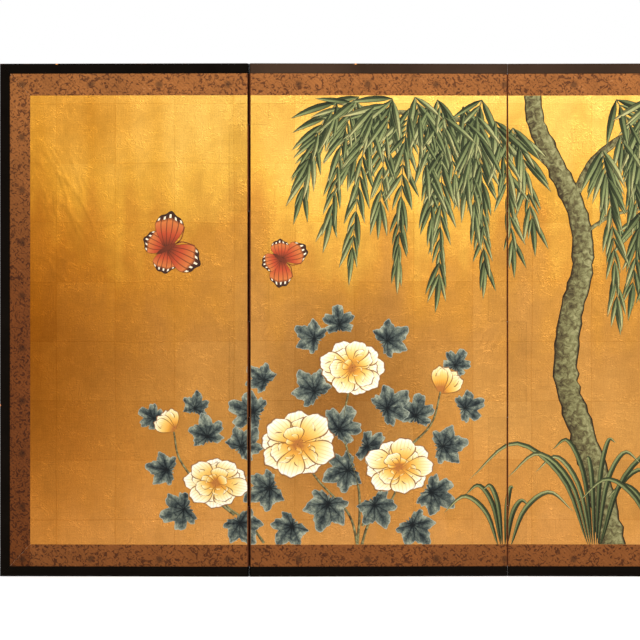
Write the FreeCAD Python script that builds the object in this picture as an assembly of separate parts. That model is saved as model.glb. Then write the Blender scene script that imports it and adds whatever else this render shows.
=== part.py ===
import FreeCAD, Part
import math
import os
from FreeCAD import Placement, Rotation, Vector

# A four-panel folding screen that stands on the floor in a shallow zigzag.
# Each panel is a lattice of wood closed by paper on both faces. The front carries a
# gold-leafed picture sheet inside a brocade border, and a lacquered frame runs round the
# whole screen. The seams are crossed paper strips that let a panel fold either way.
# Millimetres and degrees. X runs to the right seen from the front, Y to the back, Z up.

# The whole screen
screen_height = 914.4
outer_panel_width = 444.8     # outer face of the frame to the line of the seam
inner_panel_width = 460.8     # line of one seam to the line of the next
zigzag_angle = 5.0            # how far each panel stands out of the line of the screen
hinge_gap = 2.8               # between the edges of two cores, laid flat
rail_gap = 0.6                # between the ends of two rails, laid flat
fold_clearance = 0.15         # from a rail's face to the line that the panels fold about

# The lacquered frame
frame_face = 18.0             # width of rail and stile seen from the front
frame_depth = 19.0
frame_round = 1.2             # eased edges
mitre_gap = 0.15              # glue line where rail and stile meet

# The wooden core
core_depth = 14.4
core_member_width = 28.0      # stiles and end rails of the core
lattice_bar_width = 14.0
lattice_upright_count = 3
lattice_crossbar_count = 7
tenon_thickness = 4.8
lattice_tenon_width = 10.0
lattice_tenon_length = 8.0

# Paper, silk and brocade
lining_thickness = 0.8
picture_thickness = 0.5
brocade_thickness = 0.7
back_cover_thickness = 0.4
brocade_width = 39.0          # along the rails
side_brocade_width = 36.5     # along the end stiles

# Square bamboo pegs that hold the frame to the core
peg_side = 3.0
peg_length = 22.0
rail_peg_count = 4
stile_peg_count = 6

# Crossed paper strips of a seam
strip_thickness = 0.7
strip_edge_clearance = 0.3    # from a strip to the core beside it
strip_end_clearance = 0.4     # between one strip and the next
leaf_width = 34.0             # the pasted end of a strip, under the picture or back cover
leaf_thickness = 0.3
strip_height_shares = (0.104, 0.175, 0.224, 0.195, 0.179, 0.123)    # from the top down

# What follows from the sizes above
core_low = frame_face
core_high = screen_height - frame_face
core_face = core_depth / 2
lining_face = core_face + lining_thickness
fold_line = frame_depth / 2 + fold_clearance
cut_overrun = frame_face      # how far a cutting prism reaches past the piece
mm_in_m = 1000

# Panels from left to right. An end panel has a stile at its outer side.
panel_kinds = ("left end", "inner", "inner", "right end")
# How each seam stands at rest, from left to right, and the side on which its moving
# panel lies: panel 2 is the one that all others fold about.
seam_rest_folds = ("back", "front", "back")
seam_child_sides = (-1, 1, 1)


def block(u_span, v_span, z_span):
    """A box between two places on each axis of a panel."""
    corner = Vector(u_span[0], v_span[0], z_span[0])
    return Part.makeBox(
        u_span[1] - u_span[0], v_span[1] - v_span[0], z_span[1] - z_span[0], corner
    )


def front_prism(outline, v_span):
    """A flat piece from an outline of (u, z) corners, as thick as the span of v."""
    points = [Vector(u, v_span[0], z) for u, z in outline]
    face = Part.Face(Part.makePolygon(points + points[:1]))
    return face.extrude(Vector(0, v_span[1] - v_span[0], 0))


def evenly(low, high, count):
    """The middles of count places that divide a stretch evenly, ends left free."""
    step = (high - low) / (count + 1)
    return [low + step * (i + 1) for i in range(count)]


def around(middle, size):
    """The two ends of a size that is centred on a place."""
    return (middle - size / 2, middle + size / 2)


class Panel:
    """The spans of one panel: u along its width, v from front to back, z up."""

    def __init__(self, kind):
        self.left_end = kind == "left end"
        self.right_end = kind == "right end"
        self.width = inner_panel_width if kind == "inner" else outer_panel_width
        self.rail_left = 0 if self.left_end else rail_gap / 2
        self.rail_right = self.width - (0 if self.right_end else rail_gap / 2)
        self.core_left = frame_face if self.left_end else hinge_gap / 2
        self.core_right = self.width - (frame_face if self.right_end else hinge_gap / 2)
        self.core_u = (self.core_left, self.core_right)
        self.open_left = self.core_left + core_member_width
        self.open_right = self.core_right - core_member_width
        self.open_low = core_low + core_member_width
        self.open_high = core_high - core_member_width
        self.uprights = evenly(self.open_left, self.open_right, lattice_upright_count)
        self.crossbars = evenly(self.open_low, self.open_high, lattice_crossbar_count)


def core_frame(panel):
    """Two core stiles slotted at their ends, and two core rails whose tongues fill the slots."""
    depth = (-core_face, core_face)
    tongue = around(0, tenon_thickness)
    stiles = [
        block((panel.core_left, panel.open_left), depth, (core_low, core_high)),
        block((panel.open_right, panel.core_right), depth, (core_low, core_high)),
    ]
    rails = []
    for z_span in ((core_low, panel.open_low), (panel.open_high, core_high)):
        body = block((panel.open_left, panel.open_right), depth, z_span)
        tongues = block(panel.core_u, tongue, z_span)
        rails.append(body.fuse(tongues).removeSplitter())
        stiles = [stile.cut(tongues) for stile in stiles]
    return stiles, rails


def lattice(panel):
    """Uprights and crossbars, halved into each other and tenoned into the core frame."""
    tenon = around(0, tenon_thickness)
    uprights = []
    for u in panel.uprights:
        body = block(
            around(u, lattice_bar_width), (-core_face, core_face), (panel.open_low, panel.open_high)
        )
        tenons = block(
            around(u, lattice_tenon_width),
            tenon,
            (panel.open_low - lattice_tenon_length, panel.open_high + lattice_tenon_length),
        )
        bar = body.fuse(tenons)
        for z in panel.crossbars:
            bar = bar.cut(
                block(around(u, lattice_bar_width), (-core_face, 0), around(z, lattice_bar_width))
            )
        uprights.append(bar.removeSplitter())
    crossbars = []
    for z in panel.crossbars:
        body = block(
            (panel.open_left, panel.open_right), (-core_face, core_face), around(z, lattice_bar_width)
        )
        tenons = block(
            (panel.open_left - lattice_tenon_length, panel.open_right + lattice_tenon_length),
            tenon,
            around(z, lattice_tenon_width),
        )
        bar = body.fuse(tenons)
        for u in panel.uprights:
            bar = bar.cut(
                block(around(u, lattice_bar_width), (0, core_face), around(z, lattice_bar_width))
            )
        crossbars.append(bar.removeSplitter())
    return uprights, crossbars


def eased(bar, run, square_ends):
    """A frame bar with its long edges rounded, and its end edges too where it isn't mitred.

    run is the axis along the bar, and square_ends are the places of its unmitred ends.
    """
    edges = []
    for edge in bar.Edges:
        first, last = (getattr(vertex.Point, run) for vertex in edge.Vertexes)
        along = abs(first - last) > frame_depth
        at_square_end = any(abs((first + last) / 2 - end) < frame_round for end in square_ends)
        if along or at_square_end:
            edges.append(edge)
    return bar.makeFillet(frame_round, edges)


def mitre_waste(corner_u, corner_z, inward_u, inward_z, side):
    """The wedge cut off a bar at an outer corner of the screen.

    The mitre runs from the outer corner inwards. side is "rail" for the wedge that a rail
    loses, and "stile" for the one that a stile loses; half the glue line goes with each.
    """
    shift = mitre_gap / 2 * math.sqrt(2)
    reach = frame_face + cut_overrun
    if side == "rail":
        start = (corner_u - inward_u * cut_overrun + inward_u * shift, corner_z - inward_z * cut_overrun)
        finish = (corner_u + inward_u * (reach + shift), corner_z + inward_z * reach)
        third = (start[0], finish[1])
    else:
        start = (corner_u - inward_u * cut_overrun, corner_z - inward_z * cut_overrun + inward_z * shift)
        finish = (corner_u + inward_u * reach, corner_z + inward_z * (reach + shift))
        third = (finish[0], start[1])
    v_reach = frame_depth / 2 + cut_overrun
    return front_prism([start, finish, third], (-v_reach, v_reach))


def frame_bars(panel):
    """Top rail, bottom rail and, on an end panel, the stile, mitred at the outer corners."""
    depth = (-frame_depth / 2, frame_depth / 2)
    rail_u = (panel.rail_left, panel.rail_right)
    seam_ends = []
    if not panel.left_end:
        seam_ends.append(panel.rail_left)
    if not panel.right_end:
        seam_ends.append(panel.rail_right)
    top = eased(block(rail_u, depth, (core_high, screen_height)), "x", seam_ends)
    bottom = eased(block(rail_u, depth, (0, core_low)), "x", seam_ends)
    stile = None
    if panel.left_end or panel.right_end:
        corner_u, inward_u = (0, 1) if panel.left_end else (panel.width, -1)
        stile_u = sorted((corner_u, corner_u + inward_u * frame_face))
        stile = eased(block(stile_u, depth, (0, screen_height)), "z", ())
        top = top.cut(mitre_waste(corner_u, screen_height, inward_u, -1, "rail"))
        bottom = bottom.cut(mitre_waste(corner_u, 0, inward_u, 1, "rail"))
        for corner_z, inward_z in ((screen_height, -1), (0, 1)):
            stile = stile.cut(mitre_waste(corner_u, corner_z, inward_u, inward_z, "stile"))
    return top, bottom, stile


def peg_blocks(panel):
    """Square pegs, half in the frame and half in the core: top, bottom and stile groups."""
    section = around(0, peg_side)
    rail_places = evenly(panel.open_left, panel.open_right, rail_peg_count)
    top = [block(around(u, peg_side), section, around(core_high, peg_length)) for u in rail_places]
    bottom = [block(around(u, peg_side), section, around(core_low, peg_length)) for u in rail_places]
    side = []
    if panel.left_end or panel.right_end:
        joint_u = panel.core_left if panel.left_end else panel.core_right
        for z in evenly(panel.open_low, panel.open_high, stile_peg_count):
            side.append(block(around(joint_u, peg_length), section, around(z, peg_side)))
    return top, bottom, side


def cut_all(solid, tools):
    """The solid less every tool."""
    for tool in tools:
        solid = solid.cut(tool)
    return solid


def strip_spans():
    """The z spans of a seam's strips, from the top down."""
    spans = []
    high = core_high
    for share in strip_height_shares:
        low = high - share * (core_high - core_low)
        spans.append((low + strip_end_clearance / 2, high - strip_end_clearance / 2))
        high = low
    return spans


def leaf_faces(number, is_child):
    """Which face a strip is pasted to on this panel, for strips counted from 0 at the top.

    Strips 0, 2, 4 run from the front of the fixed panel to the back of the moving one,
    and strips 1, 3, 5 the other way.
    """
    starts_in_front = number % 2 == 0
    return "front" if starts_in_front != is_child else "back"


def hinge_leaves(panel, seams):
    """The pasted ends of the strips. seams lists (side, is_child) of the panel's own seams."""
    leaves = {"front": [], "back": []}
    for side, is_child in seams:
        edge = panel.core_left if side == "left" else panel.core_right
        inner = edge + leaf_width if side == "left" else edge - leaf_width
        for number, z_span in enumerate(strip_spans()):
            face = leaf_faces(number, is_child)
            outer_v = -lining_face if face == "front" else lining_face
            inner_v = outer_v + leaf_thickness if face == "front" else outer_v - leaf_thickness
            leaves[face].append(block(sorted((edge, inner)), sorted((outer_v, inner_v)), z_span))
    return leaves


def brocade_strips(panel):
    """Border strips along both rails, and along the stile of an end panel with mitres."""
    v_span = (-lining_face - brocade_thickness, -lining_face)
    inner_left = panel.core_left + (side_brocade_width if panel.left_end else 0)
    inner_right = panel.core_right - (side_brocade_width if panel.right_end else 0)
    strips = []
    for outer_z, inner_z in (
        (core_high, core_high - brocade_width),
        (core_low, core_low + brocade_width),
    ):
        outline = [
            (panel.core_left, outer_z),
            (panel.core_right, outer_z),
            (inner_right, inner_z),
            (inner_left, inner_z),
        ]
        strips.append(front_prism(outline, v_span))
    for is_end, outer_u, inner_u in (
        (panel.left_end, panel.core_left, inner_left),
        (panel.right_end, panel.core_right, inner_right),
    ):
        if is_end:
            outline = [
                (outer_u, core_low),
                (outer_u, core_high),
                (inner_u, core_high - brocade_width),
                (inner_u, core_low + brocade_width),
            ]
            strips.append(front_prism(outline, v_span))
    picture = block(
        (inner_left, inner_right),
        (-lining_face - picture_thickness, -lining_face),
        (core_low + brocade_width, core_high - brocade_width),
    )
    return strips, picture


def build_panel(kind, seams):
    """Every piece of one panel in the panel's own place, by name."""
    panel = Panel(kind)
    stiles, rails = core_frame(panel)
    uprights, crossbars = lattice(panel)
    top_pegs, bottom_pegs, side_pegs = peg_blocks(panel)
    pegs = top_pegs + bottom_pegs + side_pegs
    stiles = [cut_all(stile, crossbars + side_pegs) for stile in stiles]
    rails = [cut_all(rail, uprights + top_pegs + bottom_pegs) for rail in rails]
    top, bottom, stile = frame_bars(panel)
    leaves = hinge_leaves(panel, seams)
    core_z = (core_low, core_high)
    front_lining = cut_all(
        block(panel.core_u, (-lining_face, -core_face), core_z), leaves["front"]
    )
    back_lining = cut_all(block(panel.core_u, (core_face, lining_face), core_z), leaves["back"])
    strips, picture = brocade_strips(panel)
    back_span = (lining_face, lining_face + back_cover_thickness)
    pieces = {
        "core_frame": stiles + rails,
        "lattice_uprights": uprights,
        "lattice_crossbars": crossbars,
        "front_lining": [front_lining],
        "back_lining": [back_lining],
        "hinge_leaves": leaves["front"] + leaves["back"],
        "picture_sheet": [picture],
        "brocade_border": strips,
        "back_cover": [block(panel.core_u, back_span, core_z)],
        "top_rail": [cut_all(top, top_pegs)],
        "bottom_rail": [cut_all(bottom, bottom_pegs)],
        "frame_pegs": pegs,
    }
    if stile:
        pieces["end_stile"] = [cut_all(stile, side_pegs)]
    return pieces


def seam_strips(child_side, first):
    """The free part of every second strip, in the gap of a seam whose middle is u = 0.

    The strips counted from first = 0 start at the front beside the fixed panel, and those
    from first = 1 start at the back beside it.
    """
    reach = hinge_gap / 2 - strip_edge_clearance - strip_thickness / 2
    front_u = -child_side * reach if first == 0 else child_side * reach
    strips = []
    for z_span in strip_spans()[first::2]:
        corners = [
            Vector(front_u - strip_thickness / 2, -lining_face, z_span[0]),
            Vector(front_u + strip_thickness / 2, -lining_face, z_span[0]),
            Vector(-front_u + strip_thickness / 2, lining_face, z_span[0]),
            Vector(-front_u - strip_thickness / 2, lining_face, z_span[0]),
        ]
        face = Part.Face(Part.makePolygon(corners + corners[:1]))
        strips.append(face.extrude(Vector(0, 0, z_span[1] - z_span[0])))
    return strips


def standing_places():
    """Where each panel stands: they turn by the zigzag angle to alternate sides."""
    widths = [Panel(kind).width for kind in panel_kinds]
    turn = -zigzag_angle
    places = [Placement(Vector(0, 0, 0), Rotation(Vector(0, 0, 1), turn))]
    for width, fold in zip(widths, seam_rest_folds):
        line_v = fold_line if fold == "back" else -fold_line
        line = places[-1].multVec(Vector(width, line_v, 0))
        turn = -turn
        rotation = Rotation(Vector(0, 0, 1), turn)
        places.append(Placement(line - rotation.multVec(Vector(0, line_v, 0)), rotation))
    return places


def panel_seams(index):
    """The seams of a panel as (side, is_child), from its number counted from 0."""
    seams = []
    if index > 0:
        seams.append(("left", seam_child_sides[index - 1] > 0))
    if index < len(panel_kinds) - 1:
        seams.append(("right", seam_child_sides[index] < 0))
    return seams


def seam_facts(seam, places):
    """The fixed and the moving panel's places at a seam, each moved to the seam's middle."""
    left = places[seam].multiply(Placement(Vector(Panel(panel_kinds[seam]).width, 0, 0), Rotation()))
    right = places[seam + 1]
    return (left, right) if seam_child_sides[seam] > 0 else (right, left)


def strip_places(seam, places):
    """Where the strips from the front and the strips from the back lie at rest.

    The strips that start at the front of the fixed panel stay with it while the seam is
    folded back, and go with the moving one while it is folded to the front. The strips
    that start at its back do the opposite.
    """
    fixed, moving = seam_facts(seam, places)
    return (fixed, moving) if seam_rest_folds[seam] == "back" else (moving, fixed)


def main():
    places = standing_places()
    nodes = {}
    for index, kind in enumerate(panel_kinds):
        for name, solids in build_panel(kind, panel_seams(index)).items():
            nodes[f"panel_{index + 1}_{name}"] = (solids, places[index])
    for seam in range(len(seam_rest_folds)):
        side = seam_child_sides[seam]
        for first, (start, place) in enumerate(zip(("front", "back"), strip_places(seam, places))):
            nodes[f"seam_{seam + 1}_strips_from_{start}"] = (seam_strips(side, first), place)

    standing = {}
    for name, (solids, place) in nodes.items():
        shape = Part.makeCompound(solids) if len(solids) > 1 else solids[0].copy()
        shape.Placement = place.multiply(shape.Placement)
        standing[name] = shape
    bounds = Part.makeCompound(list(standing.values())).BoundBox
    to_middle = Vector(-bounds.Center.x, -bounds.Center.y, 0)

    os.makedirs("parts", exist_ok=True)
    for name, shape in standing.items():
        shape.translate(to_middle)
        shape.exportStep(f"parts/{name}.step")
    print(f"{len(standing)} nodes, {bounds.XLength:.2f} x {bounds.YLength:.2f} x {bounds.ZLength:.2f} mm")

    # Fold lines and feet in metres, for whoever joins the screen to something else
    for index, place in enumerate(places):
        foot = place.multVec(Vector(Panel(panel_kinds[index]).width / 2, 0, 0)) + to_middle
        print(f"panel_{index + 1} foot {foot.x / mm_in_m:.6f} {foot.y / mm_in_m:.6f}")
    for seam, fold in enumerate(seam_rest_folds):
        fixed = seam_facts(seam, places)[0]
        for side in ("front", "back"):
            line_v = fold_line if side == "back" else -fold_line
            line = fixed.multVec(Vector(0, line_v, 0)) + to_middle
            state = "folded" if side == fold else "flat"
            print(f"seam_{seam + 1} {side} {state} {line.x / mm_in_m:.6f} {line.y / mm_in_m:.6f}")


main()
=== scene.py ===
import math
import random

import bmesh
import bpy
from mathutils import Matrix, Vector, noise


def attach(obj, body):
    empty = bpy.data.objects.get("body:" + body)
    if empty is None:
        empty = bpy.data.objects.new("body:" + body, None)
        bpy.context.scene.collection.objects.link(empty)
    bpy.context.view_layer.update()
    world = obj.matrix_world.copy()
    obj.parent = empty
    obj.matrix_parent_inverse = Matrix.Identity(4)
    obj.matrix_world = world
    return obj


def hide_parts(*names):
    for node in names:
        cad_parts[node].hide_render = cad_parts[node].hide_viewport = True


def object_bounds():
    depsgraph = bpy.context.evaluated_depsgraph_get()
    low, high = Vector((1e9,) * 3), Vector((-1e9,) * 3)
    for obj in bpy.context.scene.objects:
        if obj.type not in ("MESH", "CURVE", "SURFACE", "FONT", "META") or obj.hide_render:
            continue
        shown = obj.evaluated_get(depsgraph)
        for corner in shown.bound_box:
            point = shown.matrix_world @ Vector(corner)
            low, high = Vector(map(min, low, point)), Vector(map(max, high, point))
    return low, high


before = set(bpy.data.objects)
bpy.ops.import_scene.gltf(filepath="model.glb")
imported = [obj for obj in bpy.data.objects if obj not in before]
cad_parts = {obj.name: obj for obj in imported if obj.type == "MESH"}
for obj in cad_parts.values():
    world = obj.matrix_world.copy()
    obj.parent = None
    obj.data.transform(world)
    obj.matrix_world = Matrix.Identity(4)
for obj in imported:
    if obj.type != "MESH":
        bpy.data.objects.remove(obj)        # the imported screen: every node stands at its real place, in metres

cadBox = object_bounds()
dice = random.Random(23)
print("frame loaded:", len(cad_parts), "nodes")

# the screen laid out flat, in millimetres, seen from the painted side:
# x runs along the screen from its left end, y up from the floor, z out of the picture
screen = {
    "height": 914.4,
    "endPanel": 444.8,
    "middlePanel": 460.8,
    "hingeGap": 2.8,
    "pictureFace": 8.5,      # from the middle of a panel's depth to the front of its picture
    "frameFace": 18.0,
    "brocade": 39.0,
    "sideBrocade": 36.5,
    "sheetThickness": 0.5,
}
metresPerMm = 0.001
panelNumbers = (1, 2, 3, 4)
# the panel that stays and the one that moves at each seam, and the side it is folded to at rest
seams = {
    1: {"fixed": 2, "moving": 1, "restFold": "back"},
    2: {"fixed": 2, "moving": 3, "restFold": "front"},
    3: {"fixed": 3, "moving": 4, "restFold": "back"},
}


def pictureEdges(panel):
    # left, right, bottom and top of a panel's picture on the flat screen
    widths = [screen["endPanel"], screen["middlePanel"], screen["middlePanel"], screen["endPanel"]]
    left = sum(widths[:panel - 1])
    right = left + widths[panel - 1]
    border = screen["frameFace"] + screen["sideBrocade"]
    left += border if panel == panelNumbers[0] else screen["hingeGap"] / 2
    right -= border if panel == panelNumbers[-1] else screen["hingeGap"] / 2
    bottom = screen["frameFace"] + screen["brocade"]
    return left, right, bottom, screen["height"] - bottom


def panelPlace(panel):
    # the matrix that carries flat millimetres onto the front of a standing panel
    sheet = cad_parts[f"panel_{panel}_picture_sheet"].data
    front = min(sheet.polygons, key=lambda face: round(face.normal.y, 3))
    out = front.normal.copy()
    up = Vector((0, 0, 1))
    across = up.cross(out)
    corner = across * min(v.co.dot(across) for v in sheet.vertices)
    corner += up * min(v.co.z for v in sheet.vertices)
    corner += out * max(v.co.dot(out) for v in sheet.vertices)
    left, _, bottom, _ = pictureEdges(panel)
    turn = Matrix((across, up, out)).transposed().to_4x4()
    flat = Matrix.Translation((-left, -bottom, 0))
    return Matrix.Translation(corner) @ turn @ Matrix.Scale(metresPerMm, 4) @ flat


places = {panel: panelPlace(panel) for panel in panelNumbers}


def seamLine(seam):
    # where a seam lies on the flat screen
    return screen["endPanel"] + (seam - 1) * screen["middlePanel"]


def stripHeights(seam, start):
    # the heights that the strips of one group take up, as pairs of bottom and top
    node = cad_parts[f"seam_{seam}_strips_from_{start}"]
    levels = sorted({round(vert.co.z / metresPerMm, 1) for vert in node.data.vertices})
    return list(zip(levels[::2], levels[1::2]))


# materials: colours are written as sRGB hex, sizes of patterns in millimetres
def linearColour(hexCode):
    parts = [int(hexCode[at:at + 2], 16) / 255 for at in (1, 3, 5)]
    linear = [p / 12.92 if p <= 0.04045 else ((p + 0.055) / 1.055) ** 2.4 for p in parts]
    return (*linear, 1.0)


def repeats(millimetres):
    # how often a pattern of this size comes back in a metre
    return 1 / (millimetres * metresPerMm)


def setUp(node, settings):
    # colours may be given as hex; what isn't a socket is a property of the node
    for name, value in settings.items():
        if isinstance(value, str) and value.startswith("#"):
            value = linearColour(value)
        if name == "stops":
            elements = node.color_ramp.elements
            while len(elements) < len(value):
                elements.new(1.0)
            for element, (place, colour) in zip(elements, value):
                element.position = place
                element.color = linearColour(colour)
        elif isinstance(name, int) or name in node.inputs:
            node.inputs[name].default_value = value
        else:
            setattr(node, name, value)


def wire(node, links):
    # a link that names a node takes the first of its outputs that is in use
    for name, source in links.items():
        if isinstance(source, bpy.types.Node):
            source = next(socket for socket in source.outputs if socket.enabled)
        node.id_data.links.new(source, node.inputs[name])


def addNode(tree, kind, settings=None, links=None):
    node = tree.nodes.new("ShaderNode" + kind)
    if kind == "Mix":
        node.data_type = "RGBA"
    setUp(node, settings or {})
    wire(node, links or {})
    return node


def newFinish(name, settings):
    material = bpy.data.materials.new(name)
    material.use_nodes = True
    tree = material.node_tree
    shader = tree.nodes["Principled BSDF"]
    setUp(shader, settings)
    return material, tree, shader


def goldLeafOnSilk():
    # square leaves of beaten gold on silk, toned with age and with a painted highlight towards the top,
    # and painted shade in patches: a soft metal glow, brighter where it faces the lamp, with the silk's
    # threads and the leaves' laps just showing
    look = {
        "leafSide": 106.0,
        "lapWidth": 1.8,
        "leafShift": 9.0,        # how far a leaf may lie off the square grid
        "leafContrast": 0.5,
        "blotchSize": 42.0,
        "blotchContrast": 0.09,
        "threadSpacing": 2.2,    # real threads are 0.3 mm apart, drawn coarser so that they show
        "threadLength": 30.0,
        "threadContrast": 0.08,
        "weaveRise": 0.28,
        "grainSize": 2.0,        # worn leaf, also drawn coarser
        "grainContrast": 0.15,
        "cloudSize": 170.0,
        "bandWidth": 60.0,
        "bandLength": 500.0,
        "drift": 0.14,           # how far clouds and bands move the toning and painted highlight, as a share of the height
        "speckSpacing": 120.0,
        "speckSize": 1.1,
        "speck": "#5a3816",
        "roughness": (0.38, 0.50),
        # age toning and a painted highlight: the gold is painted lighter towards the top
        "toningAndHighlight": [(0.0, "#b27e42"), (0.12, "#ad793b"), (0.28, "#a8783c"), (0.45, "#a17136"),
                   (0.63, "#aa7730"), (0.80, "#bc903b"), (1.0, "#c69f4e")],
        "paintedShadePlaces": [
            # painted shade: middle and reach in millimetres, and the colour of the shade there
            ((0.0, 450.0), (540.0, 1000.0), "#efd598"),
            ((150.0, 850.0), (260.0, 170.0), "#ecdcc8"),
            ((0.0, 370.0), (330.0, 480.0), "#ebdfd0"),
            ((60.0, 350.0), (300.0, 330.0), "#dcd5c6"),
            ((600.0, 300.0), (240.0, 340.0), "#bfb4ae"),
            ((530.0, 860.0), (210.0, 170.0), "#e8dfd0"),
            ((1330.0, 380.0), (260.0, 300.0), "#e7e2d4"),
            ((1811.0, 420.0), (320.0, 800.0), "#e7d7c4"),
        ],
        "crinkleSize": 16.0,
        "crinkleRise": 0.3,
        # the hinge leaves under the silk: their rise as a share of the weave's, their tone, and the tone
        # and width of the line along their edge
        "pasteRise": 0.35,
        "pasteTone": 0.94,
        "pasteEdge": (0.86, 1.6),
    }
    material, tree, shader = newFinish("goldLeafOnSilk", {"Metallic": 1.0})
    flat = addNode(tree, "UVMap", {"uv_map": "flat"})
    _, up, _ = addNode(tree, "SeparateXYZ", {}, {0: flat}).outputs
    clouds = addNode(tree, "TexNoise",
                     {"Scale": repeats(look["cloudSize"]), "Detail": 4.0, "Roughness": 0.6},
                     {"Vector": flat})
    _, _, bottom, top = pictureEdges(1)
    height = addNode(tree, "MapRange", {"From Min": bottom * metresPerMm, "From Max": top * metresPerMm},
                     {0: up})
    stretched = addNode(tree, "Mapping",
                        {"Scale": (repeats(look["bandWidth"]), repeats(look["bandLength"]), 1.0)},
                        {"Vector": flat})
    bands = addNode(tree, "TexNoise", {"Scale": 1.0}, {"Vector": stretched})
    uneven = addNode(tree, "Math", {"operation": "ADD"}, {0: clouds, 1: bands})
    drift = addNode(tree, "MapRange",
                    {"From Min": 0.7, "From Max": 1.3, "To Min": -look["drift"], "To Max": look["drift"]},
                    {0: uneven})
    # the height that sets the age toning and the painted highlight
    toningAndHighlightHeight = addNode(tree, "Math", {"operation": "ADD"}, {0: height, 1: drift})
    toned = addNode(tree, "ValToRGB", {"stops": look["toningAndHighlight"]}, {0: toningAndHighlightHeight})
    # patches of painted shade that darken the gold where less light falls
    for middle, reach, shadeColour in look["paintedShadePlaces"]:
        around = addNode(tree, "Mapping", {
            "vector_type": "TEXTURE", "Location": (*(size * metresPerMm for size in middle), 0),
            "Scale": (*(size * metresPerMm for size in reach), 1.0)}, {"Vector": flat})
        away = addNode(tree, "VectorMath", {"operation": "LENGTH"}, {0: around})
        share = addNode(tree, "MapRange",
                        {"interpolation_type": "SMOOTHSTEP", "From Min": 1.0, "From Max": 0.0}, {0: away})
        toned = addNode(tree, "Mix", {"blend_type": "MULTIPLY", 7: shadeColour}, {0: share, 6: toned})
    # the leaves were laid by hand, so their rows wander
    wander = addNode(tree, "VectorMath",
                     {"operation": "MULTIPLY_ADD", 1: (look["leafShift"] * metresPerMm,) * 3},
                     {0: clouds.outputs["Color"], 2: flat})
    squares = addNode(tree, "TexBrick", {
        "offset": 0.0, "Color1": "#ffffff", "Color2": "#e6dcc6", "Mortar": "#dccba6", "Scale": 1.0,
        "Mortar Size": look["lapWidth"] * metresPerMm / 2, "Mortar Smooth": 0.6,
        "Brick Width": look["leafSide"] * metresPerMm, "Row Height": look["leafSide"] * metresPerMm},
        {"Vector": wander})
    leafTone = addNode(tree, "Mix", {"blend_type": "MULTIPLY", 0: look["leafContrast"]},
                       {6: toned, 7: squares})
    threads = []
    for along, across in (("threadLength", "threadSpacing"), ("threadSpacing", "threadLength")):
        stretched = addNode(tree, "Mapping",
                            {"Scale": (repeats(look[along]), repeats(look[across]), 1.0)},
                            {"Vector": flat})
        threads.append(addNode(tree, "TexNoise", {"Scale": 1.0, "Detail": 3.0, "Roughness": 0.7},
                               {"Vector": stretched}))
    weave = addNode(tree, "Math", {"operation": "ADD"}, {0: threads[0], 1: threads[1]})
    threadTone = addNode(tree, "MapRange", {
        "From Min": 0.75, "From Max": 1.25, "To Min": 1 - look["threadContrast"],
        "To Max": 1 + look["threadContrast"]}, {0: weave})
    grain = addNode(tree, "TexNoise",
                    {"Scale": repeats(look["grainSize"]), "Detail": 2.0, "Roughness": 0.7},
                    {"Vector": flat})
    grainTone = addNode(tree, "MapRange", {
        "From Min": 0.3, "From Max": 0.7, "To Min": 1 - look["grainContrast"],
        "To Max": 1 + look["grainContrast"]}, {0: grain})
    # brush holds how deep a point lies inside a hinge leaf that is pasted under the silk
    under = addNode(tree, "Attribute", {"attribute_name": "brush"}).outputs["Vector"]
    inside = addNode(tree, "SeparateXYZ", {}, {0: under}).outputs["X"]
    pasted = addNode(tree, "MapRange", {"From Min": -0.6, "From Max": 0.6}, {0: inside})
    pastedTone = addNode(tree, "MapRange", {"To Min": 1.0, "To Max": look["pasteTone"]}, {0: pasted})
    leafEdge = addNode(tree, "Math", {"operation": "ABSOLUTE"}, {0: inside})
    edgeTone = addNode(tree, "MapRange",
                       {"From Max": look["pasteEdge"][1], "To Min": look["pasteEdge"][0]}, {0: leafEdge})
    blotches = addNode(tree, "TexNoise", {
        "Scale": repeats(look["blotchSize"]), "Detail": 4.0, "Roughness": 0.6, "Distortion": 0.5},
        {"Vector": flat})
    blotchTone = addNode(tree, "MapRange", {
        "From Min": 0.32, "From Max": 0.68, "To Min": 1 - look["blotchContrast"],
        "To Max": 1 + look["blotchContrast"]}, {0: blotches})
    tone = addNode(tree, "Math", {"operation": "MULTIPLY"}, {0: threadTone, 1: grainTone})
    for part in (pastedTone, edgeTone, blotchTone):
        tone = addNode(tree, "Math", {"operation": "MULTIPLY"}, {0: tone, 1: part})
    threaded = addNode(tree, "VectorMath", {"operation": "SCALE"}, {0: leafTone, "Scale": tone})
    specks = addNode(tree, "TexVoronoi", {"Scale": repeats(look["speckSpacing"])}, {"Vector": flat})
    speckShare = look["speckSize"] / look["speckSpacing"]
    speck = addNode(tree, "MapRange",
                    {"From Min": speckShare, "From Max": speckShare / 3, "To Max": 0.7}, {0: specks})
    colour = addNode(tree, "Mix", {7: look["speck"]}, {0: speck, 6: threaded})
    smoothest, roughest = look["roughness"]
    rough = addNode(tree, "MapRange",
                    {"From Min": 0.3, "From Max": 0.7, "To Min": smoothest, "To Max": roughest},
                    {0: clouds})
    relief = addNode(tree, "Math", {"operation": "MULTIPLY_ADD", 1: 0.5},
                     {0: squares.outputs[1], 2: weave})
    relief = addNode(tree, "Math", {"operation": "MULTIPLY_ADD", 1: look["pasteRise"]},
                     {0: pasted, 2: relief})
    weaveBump = addNode(tree, "Bump", {"Strength": 0.5, "Distance": look["weaveRise"] * metresPerMm},
                        {"Height": relief})
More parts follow.
